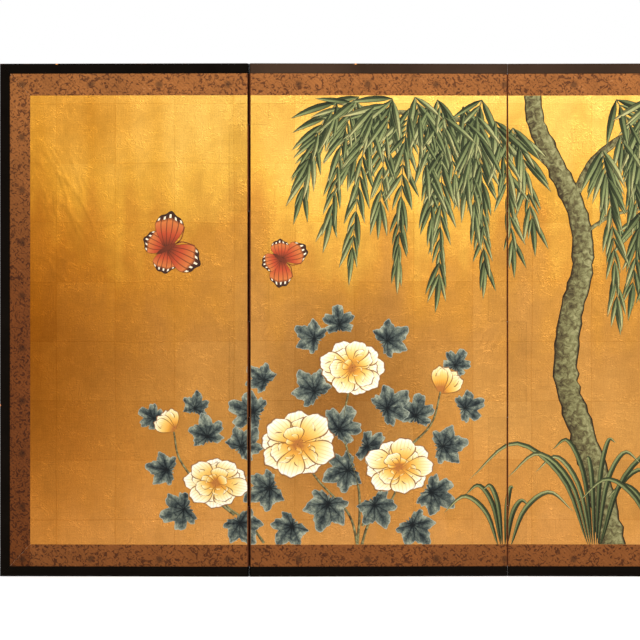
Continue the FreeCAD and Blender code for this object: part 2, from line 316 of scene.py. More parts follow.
    # fine crinkles, sharper in some places than in others
    crinkles = addNode(tree, "TexNoise", {
        "Scale": repeats(look["crinkleSize"]), "Detail": 3.0, "Roughness": 0.6, "Distortion": 1.2},
        {"Vector": flat})
    fromCrease = addNode(tree, "Math", {"operation": "PINGPONG", 1: 0.5}, {0: crinkles})
    crease = addNode(tree, "MapRange",
                     {"interpolation_type": "SMOOTHSTEP", "From Min": 0.44, "From Max": 0.5},
                     {0: fromCrease})
    creased = addNode(tree, "MapRange", {"From Min": 0.42, "From Max": 0.66}, {0: blotches})
    creaseRise = addNode(tree, "Math", {"operation": "MULTIPLY"}, {0: crease, 1: creased})
    bump = addNode(tree, "Bump", {"Strength": 1.0, "Distance": look["crinkleRise"] * metresPerMm},
                   {"Height": creaseRise, "Normal": weaveBump})
    wire(shader, {"Base Color": colour, "Roughness": rough, "Normal": bump})
    return material


def figuredBrocade():
    # woven silk: a russet ground strewn with small dark sprigs, with a ragged rosette in the
    # middle of each strip at every repeat, matt with a faint thread sheen, and painted shade that
    # darkens it towards the bottom and more on the side strips
    look = {
        "sprigSize": 9.5,
        "rosetteSpacing": (123.0, 94.0),
        "rosetteStart": (40.0, 877.0),
        "rosetteSize": 8.5,
        "threadSpacing": 1.9,    # drawn coarser than the real 0.4 mm
        "threadTones": (0.92, 1.06),
        "threadRise": 0.2,
        # from the sprigs over the ground to the highest threads
        "figure": [(0.0, "#573119"), (0.40, "#573119"), (0.49, "#90582b"), (0.66, "#90582b"),
                   (0.80, "#b0774a")],
        "rosette": "#2c2117",
        "fadeSize": 60.0,
        "fadeTones": (0.88, 1.12),
        # painted shade: full below the first height, none above the second, twice as deep on the side strips
        "paintedShade": "#bdaa98",
        "paintedShadeHeights": (430.0, 880.0),
    }
    material, tree, shader = newFinish("figuredBrocade", {
        "Roughness": 0.8, "Sheen Weight": 0.08, "Sheen Roughness": 0.4, "Specular IOR Level": 0.12})
    flat = addNode(tree, "UVMap", {"uv_map": "flat"})
    sprigs = addNode(tree, "TexNoise", {
        "Scale": repeats(look["sprigSize"]), "Detail": 2.6, "Roughness": 0.6, "Distortion": 1.9},
        {"Vector": flat})
    sprigTone = addNode(tree, "ValToRGB", {"stops": look["figure"]}, {0: sprigs})
    stepX, stepY = (size * metresPerMm for size in look["rosetteSpacing"])
    startX, startY = (size * metresPerMm for size in look["rosetteStart"])
    # shifted by whole steps, because the remainder of what is below 0 would be mirrored
    shifted = addNode(tree, "VectorMath",
                      {"operation": "ADD", 1: (stepX * 20.5 - startX, stepY * 20.5 - startY, 0)},
                      {0: flat})
    cell = addNode(tree, "VectorMath", {"operation": "MODULO", 1: (stepX, stepY, 1.0)}, {0: shifted})
    away = addNode(tree, "VectorMath", {"operation": "DISTANCE", 1: (stepX / 2, stepY / 2, 0)}, {0: cell})
    rosette = look["rosetteSize"] * metresPerMm
    ragged = addNode(tree, "Math", {"operation": "MULTIPLY_ADD", 1: rosette * 2.4, 2: rosette * -0.35},
                     {0: sprigs})
    depth = addNode(tree, "Math", {"operation": "SUBTRACT"}, {0: ragged, 1: away})
    petals = addNode(tree, "MapRange", {"From Max": rosette / 2, "To Max": 0.6}, {0: depth})
    figured = addNode(tree, "Mix", {7: look["rosette"]}, {0: petals, 6: sprigTone})
    warp = addNode(tree, "TexWave", {
        "Scale": repeats(look["threadSpacing"]) / math.tau, "bands_direction": "DIAGONAL",
        "Distortion": 0.6, "Detail": 1.0}, {"Vector": flat})
    threads = warp.outputs[1]
    darkest, lightest = look["threadTones"]
    threadTone = addNode(tree, "MapRange", {"To Min": darkest, "To Max": lightest}, {0: threads})
    fading = addNode(tree, "TexNoise", {"Scale": repeats(look["fadeSize"]), "Detail": 2.0},
                     {"Vector": flat})
    darkest, lightest = look["fadeTones"]
    fadeTone = addNode(tree, "MapRange",
                       {"From Min": 0.3, "From Max": 0.7, "To Min": darkest, "To Max": lightest},
                       {0: fading})
    tone = addNode(tree, "Math", {"operation": "MULTIPLY"}, {0: threadTone, 1: fadeTone})
    along, up, _ = addNode(tree, "SeparateXYZ", {}, {0: flat}).outputs
    # painted shade, darker towards the bottom and on the side strips
    shadeLow, shadeHigh = (size * metresPerMm for size in look["paintedShadeHeights"])
    low = addNode(tree, "MapRange",
                  {"interpolation_type": "SMOOTHSTEP", "From Min": shadeHigh, "From Max": shadeLow},
                  {0: up})
    middle = (screen["endPanel"] + screen["middlePanel"]) * metresPerMm
    fromMiddle = addNode(tree, "Math", {
        "operation": "COMPARE", 1: middle, 2: middle - pictureEdges(1)[0] * metresPerMm}, {0: along})
    strength = addNode(tree, "MapRange", {"To Min": 1.0, "To Max": 0.5}, {0: fromMiddle})
    shadeShare = addNode(tree, "Math", {"operation": "MULTIPLY"}, {0: low, 1: strength})
    shadedLow = addNode(tree, "Mix", {"blend_type": "MULTIPLY", 7: look["paintedShade"]},
                      {0: shadeShare, 6: figured})
    colour = addNode(tree, "VectorMath", {"operation": "SCALE"}, {0: shadedLow, "Scale": tone})
    relief = addNode(tree, "Math", {"operation": "ADD"}, {0: threads, 1: sprigs})
    bump = addNode(tree, "Bump", {"Strength": 0.5, "Distance": look["threadRise"] * metresPerMm},
                   {"Height": relief})
    wire(shader, {"Base Color": colour, "Normal": bump})
    return material


def blackLacquer():
    # thin urushi lacquer over wood: deep black with a soft reflection, faint brush streaks,
    # dust-dulled patches, brown rubs where edges meet hands, and a painted warm reflection in
    # patches on the inner panels' top rails
    look = {
        "black": "#040302",
        # the colour of the painted reflection on the inner panels' top rails
        "paintedReflection": "#3b2b20",
        "reflectionPatchSize": 240.0,
        "rub": "#4a2c16",
        "bareWood": "#c87a34",
        "patchSize": 60.0,
        "rubSize": 22.0,
        "rubReach": 1.6,         # how far down from the upper edge hands have rubbed
        "patchRise": 0.3,
        "roughness": (0.22, 0.42),
        "chipSize": 2.2,
        "chipHeight": 1.0,       # the frame's face stands this far before the picture
        # small knocks on the front edges where the bare wood shows: panel, x and y on the flat screen
        "chips": [(1, 102.0, 914.4), (2, 634.0, 914.4), (4, 1528.0, 914.4), (1, 0.0, 305.0),
                  (4, 1811.2, 612.0), (3, 1240.0, 0.0)],
    }
    material, tree, shader = newFinish("blackLacquer", {
        "Specular IOR Level": 0.04, "Specular Tint": "#ffdcc0"})
    spot = addNode(tree, "TexCoord").outputs["Object"]
    patches = addNode(tree, "TexNoise",
                      {"Scale": repeats(look["patchSize"]), "Detail": 5.0, "Roughness": 0.65},
                      {"Vector": spot})
    smoothest, roughest = look["roughness"]
    rough = addNode(tree, "MapRange",
                    {"From Min": 0.35, "From Max": 0.65, "To Min": smoothest, "To Max": roughest},
                    {0: patches})
    along, _, up = addNode(tree, "SeparateXYZ", {}, {0: spot}).outputs
    nearEdge = addNode(tree, "MapRange", {
        "From Min": (screen["height"] - look["rubReach"]) * metresPerMm,
        "From Max": screen["height"] * metresPerMm}, {0: up})
    rubs = addNode(tree, "TexNoise", {"Scale": repeats(look["rubSize"]), "Detail": 3.0}, {"Vector": spot})
    rubbed = addNode(tree, "MapRange", {"From Min": 0.62, "From Max": 0.68}, {0: rubs})
    wear = addNode(tree, "Math", {"operation": "MULTIPLY"}, {0: rubbed, 1: nearEdge})
    # painted reflection: a warm brown sheen painted in patches on the inner panels' top rails
    onTop = addNode(tree, "Math", {
        "operation": "GREATER_THAN", 1: (screen["height"] - screen["frameFace"] * 1.5) * metresPerMm},
        {0: up})
    within = addNode(tree, "Math",
                     {"operation": "COMPARE", 1: 0.0, 2: screen["middlePanel"] * metresPerMm}, {0: along})
    reflectionPatches = addNode(tree, "TexNoise", {"Scale": repeats(look["reflectionPatchSize"]), "Detail": 3.0},
                        {"Vector": spot})
    reflectionStrength = addNode(tree, "MapRange", {"From Min": 0.3, "From Max": 0.6, "To Min": 0.4},
                       {0: reflectionPatches})
    reflectingRails = addNode(tree, "Math", {"operation": "MULTIPLY"}, {0: onTop, 1: within})
    reflectionShare = addNode(tree, "Math", {"operation": "MULTIPLY"}, {0: reflectingRails, 1: reflectionStrength})
    reflected = addNode(tree, "Mix", {6: look["black"], 7: look["paintedReflection"]}, {0: reflectionShare})
    colour = addNode(tree, "Mix", {7: look["rub"]}, {0: wear, 6: reflected})
    ragged = addNode(tree, "TexNoise", {"Scale": repeats(look["chipSize"])}, {"Vector": spot})
    chip = look["chipSize"] * metresPerMm
    for panel, x, y in look["chips"]:
        away = addNode(tree, "VectorMath",
                       {"operation": "DISTANCE", 1: places[panel] @ Vector((x, y, look["chipHeight"]))},
                       {0: spot})
        raggedEdge = addNode(tree, "Math", {"operation": "MULTIPLY_ADD", 1: chip}, {0: ragged, 2: away})
        chipped = addNode(tree, "Math", {"operation": "LESS_THAN", 1: chip * 1.5}, {0: raggedEdge})
        colour = addNode(tree, "Mix", {7: look["bareWood"]}, {0: chipped, 6: colour})
    bump = addNode(tree, "Bump", {"Strength": 0.12, "Distance": look["patchRise"] * metresPerMm},
                   {"Height": patches})
    wire(shader, {"Base Color": colour, "Roughness": rough, "Normal": bump})
    return material


def mulberryPaper(name, base, fibre):
    # handmade paper: matt, with long tangled fibres a little lighter or darker than the pulp
    look = {"fibreSize": 7.0, "fibreRise": 0.3}
    material, tree, shader = newFinish(name, {"Roughness": 0.9, "Specular IOR Level": 0.2})
    spot = addNode(tree, "TexCoord").outputs["Object"]
    fibres = addNode(tree, "TexNoise",
                     {"Scale": repeats(look["fibreSize"]), "Detail": 5.0, "Distortion": 2.5},
                     {"Vector": spot})
    colour = addNode(tree, "ValToRGB", {"stops": [(0.4, base), (0.62, fibre)]}, {0: fibres})
    bump = addNode(tree, "Bump", {"Strength": 0.3, "Distance": look["fibreRise"] * metresPerMm},
                   {"Height": fibres})
    wire(shader, {"Base Color": colour, "Normal": bump})
    return material


def blockPrintedPaper():
    # the back: dark paper block-printed with small four-petalled flowers in a half-drop repeat,
    # a traditional small figure, its ink a little worn
    look = {
        "spacing": 62.0,
        "flowerSize": 19.0,
        "paper": "#574c3c",
        "shadedPaper": "#453c2f",
        "ink": "#a38c5a",
        "fibreSize": 9.0,
        "fibreRise": 0.2,
        "sheetSize": (450.0, 300.0),
        "lapWidth": 4.0,
        "stainSize": 260.0,
    }
    material, tree, shader = newFinish("blockPrintedPaper", {
        "Roughness": 0.85, "Specular IOR Level": 0.25})
    spot = addNode(tree, "TexCoord").outputs["Object"]
    along, _, up = addNode(tree, "SeparateXYZ", {}, {0: spot}).outputs
    wall = addNode(tree, "CombineXYZ", {}, {0: along, 1: up})
    diamond = addNode(tree, "Mapping", {"Rotation": (0, 0, math.pi / 4)}, {"Vector": wall})
    side = look["spacing"] * math.sqrt(0.5) * metresPerMm
    shifted = addNode(tree, "VectorMath", {"operation": "ADD", 1: (side * 40, side * 40, 0)},
                      {0: diamond})
    cell = addNode(tree, "VectorMath", {"operation": "MODULO", 1: (side, side, 1.0)}, {0: shifted})
    centred = addNode(tree, "VectorMath", {"operation": "SUBTRACT", 1: (side / 2, side / 2, 0)},
                      {0: cell})
    away = addNode(tree, "VectorMath", {"operation": "LENGTH"}, {0: centred})
    x, y, _ = addNode(tree, "SeparateXYZ", {}, {0: centred}).outputs
    angle = addNode(tree, "Math", {"operation": "ARCTAN2"}, {0: y, 1: x})
    fourfold = addNode(tree, "Math", {"operation": "MULTIPLY", 1: 4.0}, {0: angle})
    wave = addNode(tree, "Math", {"operation": "COSINE"}, {0: fourfold})
    radius = look["flowerSize"] / 2 * metresPerMm
    reach = addNode(tree, "Math", {"operation": "MULTIPLY_ADD", 1: radius * 0.35, 2: radius * 0.65},
                    {0: wave})
    petal = addNode(tree, "Math", {"operation": "LESS_THAN"}, {0: away, 1: reach})
    heart = addNode(tree, "Math", {"operation": "GREATER_THAN", 1: radius * 0.22}, {0: away})
    flower = addNode(tree, "Math", {"operation": "MULTIPLY"}, {0: petal, 1: heart})
    fibres = addNode(tree, "TexNoise",
                     {"Scale": repeats(look["fibreSize"]), "Detail": 6.0, "Distortion": 1.5},
                     {"Vector": spot})
    worn = addNode(tree, "MapRange", {"From Min": 0.35, "From Max": 0.6}, {0: fibres})
    printed = addNode(tree, "Math", {"operation": "MULTIPLY"}, {0: flower, 1: worn})
    paper = addNode(tree, "ValToRGB", {"stops": [(0.35, look["shadedPaper"]), (0.65, look["paper"])]},
                    {0: fibres})
    figured = addNode(tree, "Mix", {7: look["ink"]}, {0: printed, 6: paper})
    # the paper's sheets overlap, and damp has left soft stains
    sheetWidth, sheetHigh = (size * metresPerMm for size in look["sheetSize"])
    sheets = addNode(tree, "TexBrick", {
        "offset": 0.5, "Color1": "#ffffff", "Color2": "#e2ddd4", "Mortar": "#b9b0a2", "Scale": 1.0,
        "Mortar Size": look["lapWidth"] * metresPerMm / 2, "Mortar Smooth": 0.3,
        "Brick Width": sheetWidth, "Row Height": sheetHigh}, {"Vector": wall})
    stains = addNode(tree, "TexNoise",
                     {"Scale": repeats(look["stainSize"]), "Detail": 5.0, "Roughness": 0.6},
                     {"Vector": spot})
    stainTone = addNode(tree, "MapRange",
                        {"From Min": 0.35, "From Max": 0.65, "To Min": 0.78, "To Max": 1.15}, {0: stains})
    lapped = addNode(tree, "Mix", {"blend_type": "MULTIPLY", 0: 1.0}, {6: figured, 7: sheets})
    colour = addNode(tree, "VectorMath", {"operation": "SCALE"}, {0: lapped, "Scale": stainTone})
    bump = addNode(tree, "Bump", {"Strength": 0.3, "Distance": look["fibreRise"] * metresPerMm},
                   {"Height": fibres})
    wire(shader, {"Base Color": colour, "Normal": bump})
    return material


def planedWood(name, early, late, ringWidth, alongGrain):
    # planed wood: parallel growth lines, darker late wood, satin from the plane
    material, tree, shader = newFinish(name, {"Roughness": 0.6})
    spot = addNode(tree, "TexCoord").outputs["Object"]
    grain = addNode(tree, "Mapping", {"Scale": alongGrain}, {"Vector": spot})
    rings = addNode(tree, "TexNoise", {"Scale": repeats(ringWidth), "Detail": 4.0, "Distortion": 0.4},
                    {"Vector": grain})
    colour = addNode(tree, "ValToRGB", {"stops": [(0.38, early), (0.6, late)]}, {0: rings})
    wire(shader, {"Base Color": colour})
    return material


# mineral pigments: matt colour laid with a brush. The attribute brush holds where a point lies in
# its stroke: x along it or across the motif, y from side to side, z the stroke's own tone or, on
# the slate leaves, 0 at the heart and 1 at the rim
def pigment(name):
    material, tree, shader = newFinish(name, {"Roughness": 0.78, "Specular IOR Level": 0.14})
    brush = addNode(tree, "Attribute", {"attribute_name": "brush"}).outputs["Vector"]
    place = addNode(tree, "SeparateXYZ", {}, {0: brush})
    flat = addNode(tree, "UVMap", {"uv_map": "flat"})
    return material, tree, shader, tuple(place.outputs), flat


def contoured(tree, colour, inside, look):
    # a painted shape with its contour, inside being how far a point lies from the shape's edge
    line = addNode(tree, "MapRange",
                   {"From Min": look["contourShare"], "From Max": look["contourShare"] / 3}, {0: inside})
    return addNode(tree, "Mix", {7: look["contour"]}, {0: line, 6: colour})


def willowPigment():
    # malachite green on each leaf: one half in shade, one half pale, a drying tip and a dark contour
    look = {
        "shade": [(0.0, "#1b1f12"), (0.5, "#384027"), (1.0, "#6c6a45")],
        "light": [(0.0, "#424b2d"), (0.5, "#7e8555"), (0.85, "#b4ae76"), (1.0, "#c4a668")],
        "contour": "#17160d",
        "contourShare": 0.12,
        "streakSize": 2.6,
        "streakTones": (0.85, 1.15),
    }
    material, tree, shader, (along, side, tone), flat = pigment("willowPigment")
    drying = addNode(tree, "Math", {"operation": "MULTIPLY_ADD", 1: 0.7}, {0: along, 2: tone})
    shade, light = (addNode(tree, "ValToRGB", {"stops": look[part]}, {0: drying})
                    for part in ("shade", "light"))
    half = addNode(tree, "MapRange", {"From Min": 0.44, "From Max": 0.56}, {0: side})
    leaf = addNode(tree, "Mix", {}, {0: half, 6: shade, 7: light})
    streaks = addNode(tree, "TexNoise", {"Scale": repeats(look["streakSize"]), "Detail": 2.0},
                      {"Vector": flat})
    darkest, lightest = look["streakTones"]
    streakTone = addNode(tree, "MapRange",
                         {"From Min": 0.3, "From Max": 0.7, "To Min": darkest, "To Max": lightest},
                         {0: streaks})
    streaked = addNode(tree, "VectorMath", {"operation": "SCALE"}, {0: leaf, "Scale": streakTone})
    fromSide = addNode(tree, "Math", {"operation": "PINGPONG", 1: 0.5}, {0: side})
    wire(shader, {"Base Color": contoured(tree, streaked, fromSide, look)})
    return material


def barkPigment():
    # ink and malachite on the trunk, boughs and stems: brown-grey bark, mossy lights, dark contour
    look = {
        "bark": [(0.30, "#3a3020"), (0.45, "#5f5637"), (0.58, "#807c52"), (0.72, "#9d966a")],
        "contour": "#251a10",
        "contourShare": 0.1,
        "grainSize": 9.0,
        "shading": 0.11,
    }
    material, tree, shader, (_, side, _), flat = pigment("barkPigment")
    grain = addNode(tree, "TexNoise", {
        "Scale": repeats(look["grainSize"]), "Detail": 5.0, "Roughness": 0.65, "Distortion": 0.8},
        {"Vector": flat})
    shadeSide = addNode(tree, "Math",
                        {"operation": "MULTIPLY_ADD", 1: -2 * look["shading"], 2: look["shading"]},
                        {0: side})
    lit = addNode(tree, "Math", {"operation": "ADD"}, {0: grain, 1: shadeSide})
    bark = addNode(tree, "ValToRGB", {"stops": look["bark"]}, {0: lit})
    fromSide = addNode(tree, "Math", {"operation": "PINGPONG", 1: 0.5}, {0: side})
    wire(shader, {"Base Color": contoured(tree, bark, fromSide, look)})
    return material


def petalPigment():
    # shell white over yellow ochre: petals golden at the heart, cream at the lip, with fine
    # veins and a thin sepia contour
    look = {
        "petal": [(0.0, "#a8632a"), (0.22, "#e09c38"), (0.5, "#efc66c"), (0.78, "#f6e3ae"),
                  (1.0, "#fbf3dc")],
        "vein": "#d9a95e",
        "contour": "#7a4c22",
        "contourShare": 0.07,
        "veinCount": 7.0,
    }
    material, tree, shader, (along, side, tone), _ = pigment("petalPigment")
    depth = addNode(tree, "Math", {"operation": "ADD"}, {0: along, 1: tone})
    petal = addNode(tree, "ValToRGB", {"stops": look["petal"]}, {0: depth})
    fan = addNode(tree, "Math", {"operation": "MULTIPLY", 1: look["veinCount"] * math.tau}, {0: side})
    wave = addNode(tree, "Math", {"operation": "SINE"}, {0: fan})
    vein = addNode(tree, "MapRange", {"From Min": 0.55, "From Max": 1.0, "To Max": 0.45}, {0: wave})
    veined = addNode(tree, "Mix", {7: look["vein"]}, {0: vein, 6: petal})
    fromSide = addNode(tree, "Math", {"operation": "PINGPONG", 1: 0.5}, {0: side})
    fromLip = addNode(tree, "Math", {"operation": "SUBTRACT", 0: 1.0}, {1: along})
    nearest = addNode(tree, "Math", {"operation": "MINIMUM"}, {0: fromSide, 1: fromLip})
    wire(shader, {"Base Color": contoured(tree, veined, nearest, look)})
    return material


def slateLeafPigment():
    # azurite thinned to slate: leaves washed wet and dark along the veins, paling between them and
    # outwards, with ink veins that fork and a dry pale line along the rim
    look = {
        "wash": [(0.05, "#15191b"), (0.28, "#2b3232"), (0.50, "#4a524d"), (0.72, "#707769"),
                 (0.92, "#9a9e89")],
        "vein": "#0d1112",
        "rim": "#aab1a1",
        "rimShare": 0.05,
        "ribAngles": (-64, -31, 0, 31, 64),
        "ribWidth": 0.030,
        "barbCount": 5.0,
        "washSize": 15.0,
        "hairSize": 3.0,
    }
    material, tree, shader, (x, y, out), flat = pigment("slateLeafPigment")
    wash = addNode(tree, "TexNoise", {
        "Scale": repeats(look["washSize"]), "Detail": 4.0, "Roughness": 0.65, "Distortion": 0.6},
        {"Vector": flat})
    hairs = addNode(tree, "TexNoise", {"Scale": repeats(look["hairSize"]), "Detail": 2.0},
                    {"Vector": flat})
    inLeaf = addNode(tree, "CombineXYZ", {}, {0: x, 1: y})
    outward = addNode(tree, "VectorMath", {"operation": "LENGTH"}, {0: inLeaf})
    blotched = addNode(tree, "Math", {"operation": "MULTIPLY_ADD", 1: 1.5, 2: -0.75}, {0: wash})
    brushed = addNode(tree, "Math", {"operation": "MULTIPLY_ADD", 1: 0.35}, {0: hairs, 2: blotched})
    washed = addNode(tree, "Math", {"operation": "MULTIPLY_ADD", 1: 0.38}, {0: out, 2: brushed})
    nearest = None
    for angle in look["ribAngles"]:
        lean = math.radians(angle)
        sideways = addNode(tree, "VectorMath",
                           {"operation": "DOT_PRODUCT", 1: (math.cos(lean), -math.sin(lean), 0)},
                           {0: inLeaf})
        away = addNode(tree, "Math", {"operation": "ABSOLUTE"}, {0: sideways})
        if nearest is not None:
            away = addNode(tree, "Math", {"operation": "MINIMUM"}, {0: nearest, 1: away})
        nearest = away
    # the wash has run to the veins and left the leaf paler between them
    toned = addNode(tree, "Math", {"operation": "MULTIPLY_ADD", 1: 1.5}, {0: nearest, 2: washed})
    slate = addNode(tree, "ValToRGB", {"stops": look["wash"]}, {0: toned})
    # a vein thins out towards the rim
    fromVein = addNode(tree, "Math", {"operation": "MULTIPLY_ADD", 1: 0.022}, {0: outward, 2: nearest})
    vein = addNode(tree, "MapRange",
                   {"From Min": look["ribWidth"], "From Max": look["ribWidth"] * 0.3, "To Max": 0.9},
                   {0: fromVein})
    # side veins leave the ribs like the barbs of a feather
    barbs = addNode(tree, "Math", {"operation": "MULTIPLY_ADD", 1: -1.6}, {0: nearest, 2: outward})
    barbWave = addNode(tree, "Math", {"operation": "MULTIPLY", 1: look["barbCount"] * math.tau},
                       {0: barbs})
    barbLine = addNode(tree, "Math", {"operation": "SINE"}, {0: barbWave})
    barb = addNode(tree, "MapRange", {"From Min": 0.72, "From Max": 1.0, "To Max": 0.45}, {0: barbLine})
    ink = addNode(tree, "Math", {"operation": "MAXIMUM"}, {0: vein, 1: barb})
    veined = addNode(tree, "Mix", {7: look["vein"]}, {0: ink, 6: slate})
    rim = addNode(tree, "MapRange", {"From Min": 1 - look["rimShare"], "From Max": 1.0, "To Max": 0.8},
                  {0: out})
    colour = addNode(tree, "Mix", {7: look["rim"]}, {0: rim, 6: veined})
    wire(shader, {"Base Color": colour})
    return material


def wingPigment():
    # vermilion to burnt umber on butterfly wings, with pale spots along the rim and a dark border
    look = {
        "wing": [(0.0, "#5a2c1c"), (0.35, "#b4482a"), (0.72, "#c9703a"), (0.84, "#4a2a1e"),
                 (1.0, "#2e201b")],
        "spot": "#efdfc0",
        "ray": "#3c241b",
        "rayCount": 5.0,
    }
    material, tree, shader, (along, side, _), _ = pigment("wingPigment")
    wing = addNode(tree, "ValToRGB", {"stops": look["wing"]}, {0: along})
    fan = addNode(tree, "Math", {"operation": "MULTIPLY", 1: look["rayCount"] * math.tau}, {0: side})
    wave = addNode(tree, "Math", {"operation": "COSINE"}, {0: fan})
    ray = addNode(tree, "MapRange", {"From Min": 0.75, "From Max": 1.0, "To Max": 0.8}, {0: wave})
    rayed = addNode(tree, "Mix", {7: look["ray"]}, {0: ray, 6: wing})
    band = addNode(tree, "Math", {"operation": "COMPARE", 1: 0.86, 2: 0.05}, {0: along})
    between = addNode(tree, "Math", {"operation": "LESS_THAN", 1: -0.45}, {0: wave})
    spot = addNode(tree, "Math", {"operation": "MULTIPLY"}, {0: band, 1: between})
    colour = addNode(tree, "Mix", {7: look["spot"]}, {0: spot, 6: rayed})
    wire(shader, {"Base Color": colour})
    return material


finishes = {
    "gold": goldLeafOnSilk(),
    "brocade": figuredBrocade(),
    "lacquer": blackLacquer(),
    "hingePaper": mulberryPaper("dyedHingePaper", "#5e2c10", "#7d4420"),
    "edgePaper": mulberryPaper("dyedEdgePaper", "#47200d", "#6d3616"),
    "liningPaper": mulberryPaper("liningPaper", "#d8ccb0", "#e9dfc6"),
    "backPaper": blockPrintedPaper(),
    "cedarUpright": planedWood("cedarUpright", "#c59a68", "#9d6c41", 3.0, (1.0, 1.0, 0.03)),
    "cedarCrosswise": planedWood("cedarCrosswise", "#c59a68", "#9d6c41", 3.0, (0.03, 1.0, 1.0)),
    "bamboo": planedWood("splitBamboo", "#cdb277", "#b08f52", 1.2, (0.05, 1.0, 1.0)),
    "willow": willowPigment(),
    "bark": barkPigment(),
    "petal": petalPigment(),
    "slateLeaf": slateLeafPigment(),
    "wing": wingPigment(),
}
nodeFinishes = {
    "top_rail": "lacquer", "bottom_rail": "lacquer", "end_stile": "lacquer",
    "back_cover": "backPaper", "front_lining": "liningPaper", "back_lining": "liningPaper",
    "core_frame": "cedarUpright", "lattice_uprights": "cedarUpright",
    "lattice_crossbars": "cedarCrosswise", "frame_pegs": "bamboo",
    "hinge_leaves": "hingePaper", "strips_from_front": "hingePaper", "strips_from_back": "hingePaper",
}
for nodeName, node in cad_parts.items():
    for ending, finish in nodeFinishes.items():
        if nodeName.endswith(ending):
            node.material_slots[0].material = finishes[finish]
print("materials ready:", len(finishes))


def newPiece():
    # an empty bmesh that remembers for every point where it lies in its stroke
    bm = bmesh.new()
    bm.verts.layers.float_vector.new("brush")
    return bm


def sinkRim(bm, verts, depth, axis=2):
    # turns the open edge of a shape down to depth and shuts the underside
    # a dictionary drops what comes twice and keeps the order
    rim = dict.fromkeys(edge for vert in verts for edge in vert.link_edges if edge.is_boundary)
    made = bmesh.ops.extrude_edge_only(bm, edges=list(rim))["geom"]
    for part in made:
        if isinstance(part, bmesh.types.BMVert):
            part.co[axis] = depth
    lower = [part for part in made if isinstance(part, bmesh.types.BMEdge) and part.is_boundary]
    bmesh.ops.edgeloop_fill(bm, edges=lower)


def trimTo(bm, edges, margin):
    # keeps what lies inside a panel's picture and shuts the cuts
    left, right, bottom, top = edges
    for spot, away in (((left + margin, 0, 0), (-1, 0, 0)), ((right - margin, 0, 0), (1, 0, 0)),
                       ((0, bottom + margin, 0), (0, -1, 0)), ((0, top - margin, 0), (0, 1, 0))):
        bmesh.ops.bisect_plane(bm, geom=bm.verts[:] + bm.edges[:] + bm.faces[:], plane_co=spot,
                               plane_no=away, clear_outer=True)
        bmesh.ops.holes_fill(bm, edges=[e for e in bm.edges if e.is_boundary], sides=0)


def finishPiece(name, bm, body, panel, finish, replaced=()):
    # lays the flat map, carries the shape to its panel's place and hangs it on its body
    flat = bm.loops.layers.uv.new("flat")
    for face in bm.faces:
        for loop in face.loops:
            loop[flat].uv = loop.vert.co.xy * metresPerMm
    bmesh.ops.recalc_face_normals(bm, faces=bm.faces)
    bm.transform(places[panel])
    mesh = bpy.data.meshes.new(name)
    bm.to_mesh(mesh)
    bm.free()
    for face in mesh.polygons:
        face.use_smooth = True
    mesh.set_sharp_from_angle(angle=math.radians(40))
    mesh.materials.append(finishes[finish])
    piece = bpy.data.objects.new(name, mesh)
    bpy.context.scene.collection.objects.link(piece)
    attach(piece, body)
    if replaced:
        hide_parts(*replaced)


# the gold-leafed silk: pasted at its rim, so it stays flat there and ripples a little inside, and
# dried in slanting folds where it came loose
sheet = {
    "meshStep": 2.6,
    "ripple": 0.10,
    "rippleSize": 90.0,
    "flatRim": 14.0,
    "leafWidth": 34.0,
    # how narrow the folds' ridges are, and how pointed
    "foldSharpness": (4.5, 1.5),
    "puckers": [
        # middle, direction in degrees, half length and half width, fold length and width, rise
        {"place": (116.0, 682.0), "turn": -60.0, "reach": (112.0, 58.0), "fold": (78.0, 12.0),
         "rise": 0.95},
        {"place": (92.0, 560.0), "turn": -42.0, "reach": (64.0, 40.0), "fold": (36.0, 11.0),
         "rise": 0.65},
        {"place": (872.0, 424.0), "turn": 72.0, "reach": (66.0, 26.0), "fold": (80.0, 13.0),
         "rise": 0.70},
        {"place": (1652.0, 382.0), "turn": 12.0, "reach": (80.0, 32.0), "fold": (70.0, 12.0),
         "rise": 0.80},
    ],
}


def pastedLeaves(panel):
    # the hinge leaves pasted under a panel's silk, as left, right, bottom and top
    leaves = []
    for seam, facts in seams.items():
        if panel in (facts["fixed"], facts["moving"]):
            start = "front" if panel == facts["fixed"] else "back"
            edge = seamLine(seam)
            towards = 1 if panel > seam else -1
            near, far = edge + towards * screen["hingeGap"] / 2, edge + towards * sheet["leafWidth"]
            for low, high in stripHeights(seam, start):
                leaves.append((min(near, far), max(near, far), low, high))
    return leaves


def puckerHeight(pucker, x, y):
    # how high a loose patch's folds stand at a point
    away = Vector((x, y)) - Vector(pucker["place"])
    if max(abs(away.x), abs(away.y)) > pucker["reach"][0]:
        return 0.0
    away.rotate(Matrix.Rotation(math.radians(-pucker["turn"]), 2))
    outward = math.hypot(away.x / pucker["reach"][0], away.y / pucker["reach"][1])
    if outward >= 1:
        return 0.0
    spot = Vector((away.x / pucker["fold"][0], away.y / pucker["fold"][1], pucker["rise"] * 10))
    narrowing, power = sheet["foldSharpness"]
    ridge = max(0.0, 1 - abs(noise.noise(spot)) * narrowing)
    return pucker["rise"] * ridge ** power * (1 - outward ** 2)


def sheetHeight(panel, x, y, edges):
    # the sheet's height over its flat face: ripple and folds, dying out at the pasted rim
    left, right, bottom, top = edges
    inside = min(x - left, right - x, y - bottom, top - y) / sheet["flatRim"]
    calm = min(1.0, max(0.0, inside))
    spot = Vector((x, y, panel * 500.0)) / sheet["rippleSize"]
    folds = sum(puckerHeight(pucker, x, y) for pucker in sheet["puckers"])
    return (sheet["ripple"] * noise.noise(spot) + folds) * calm


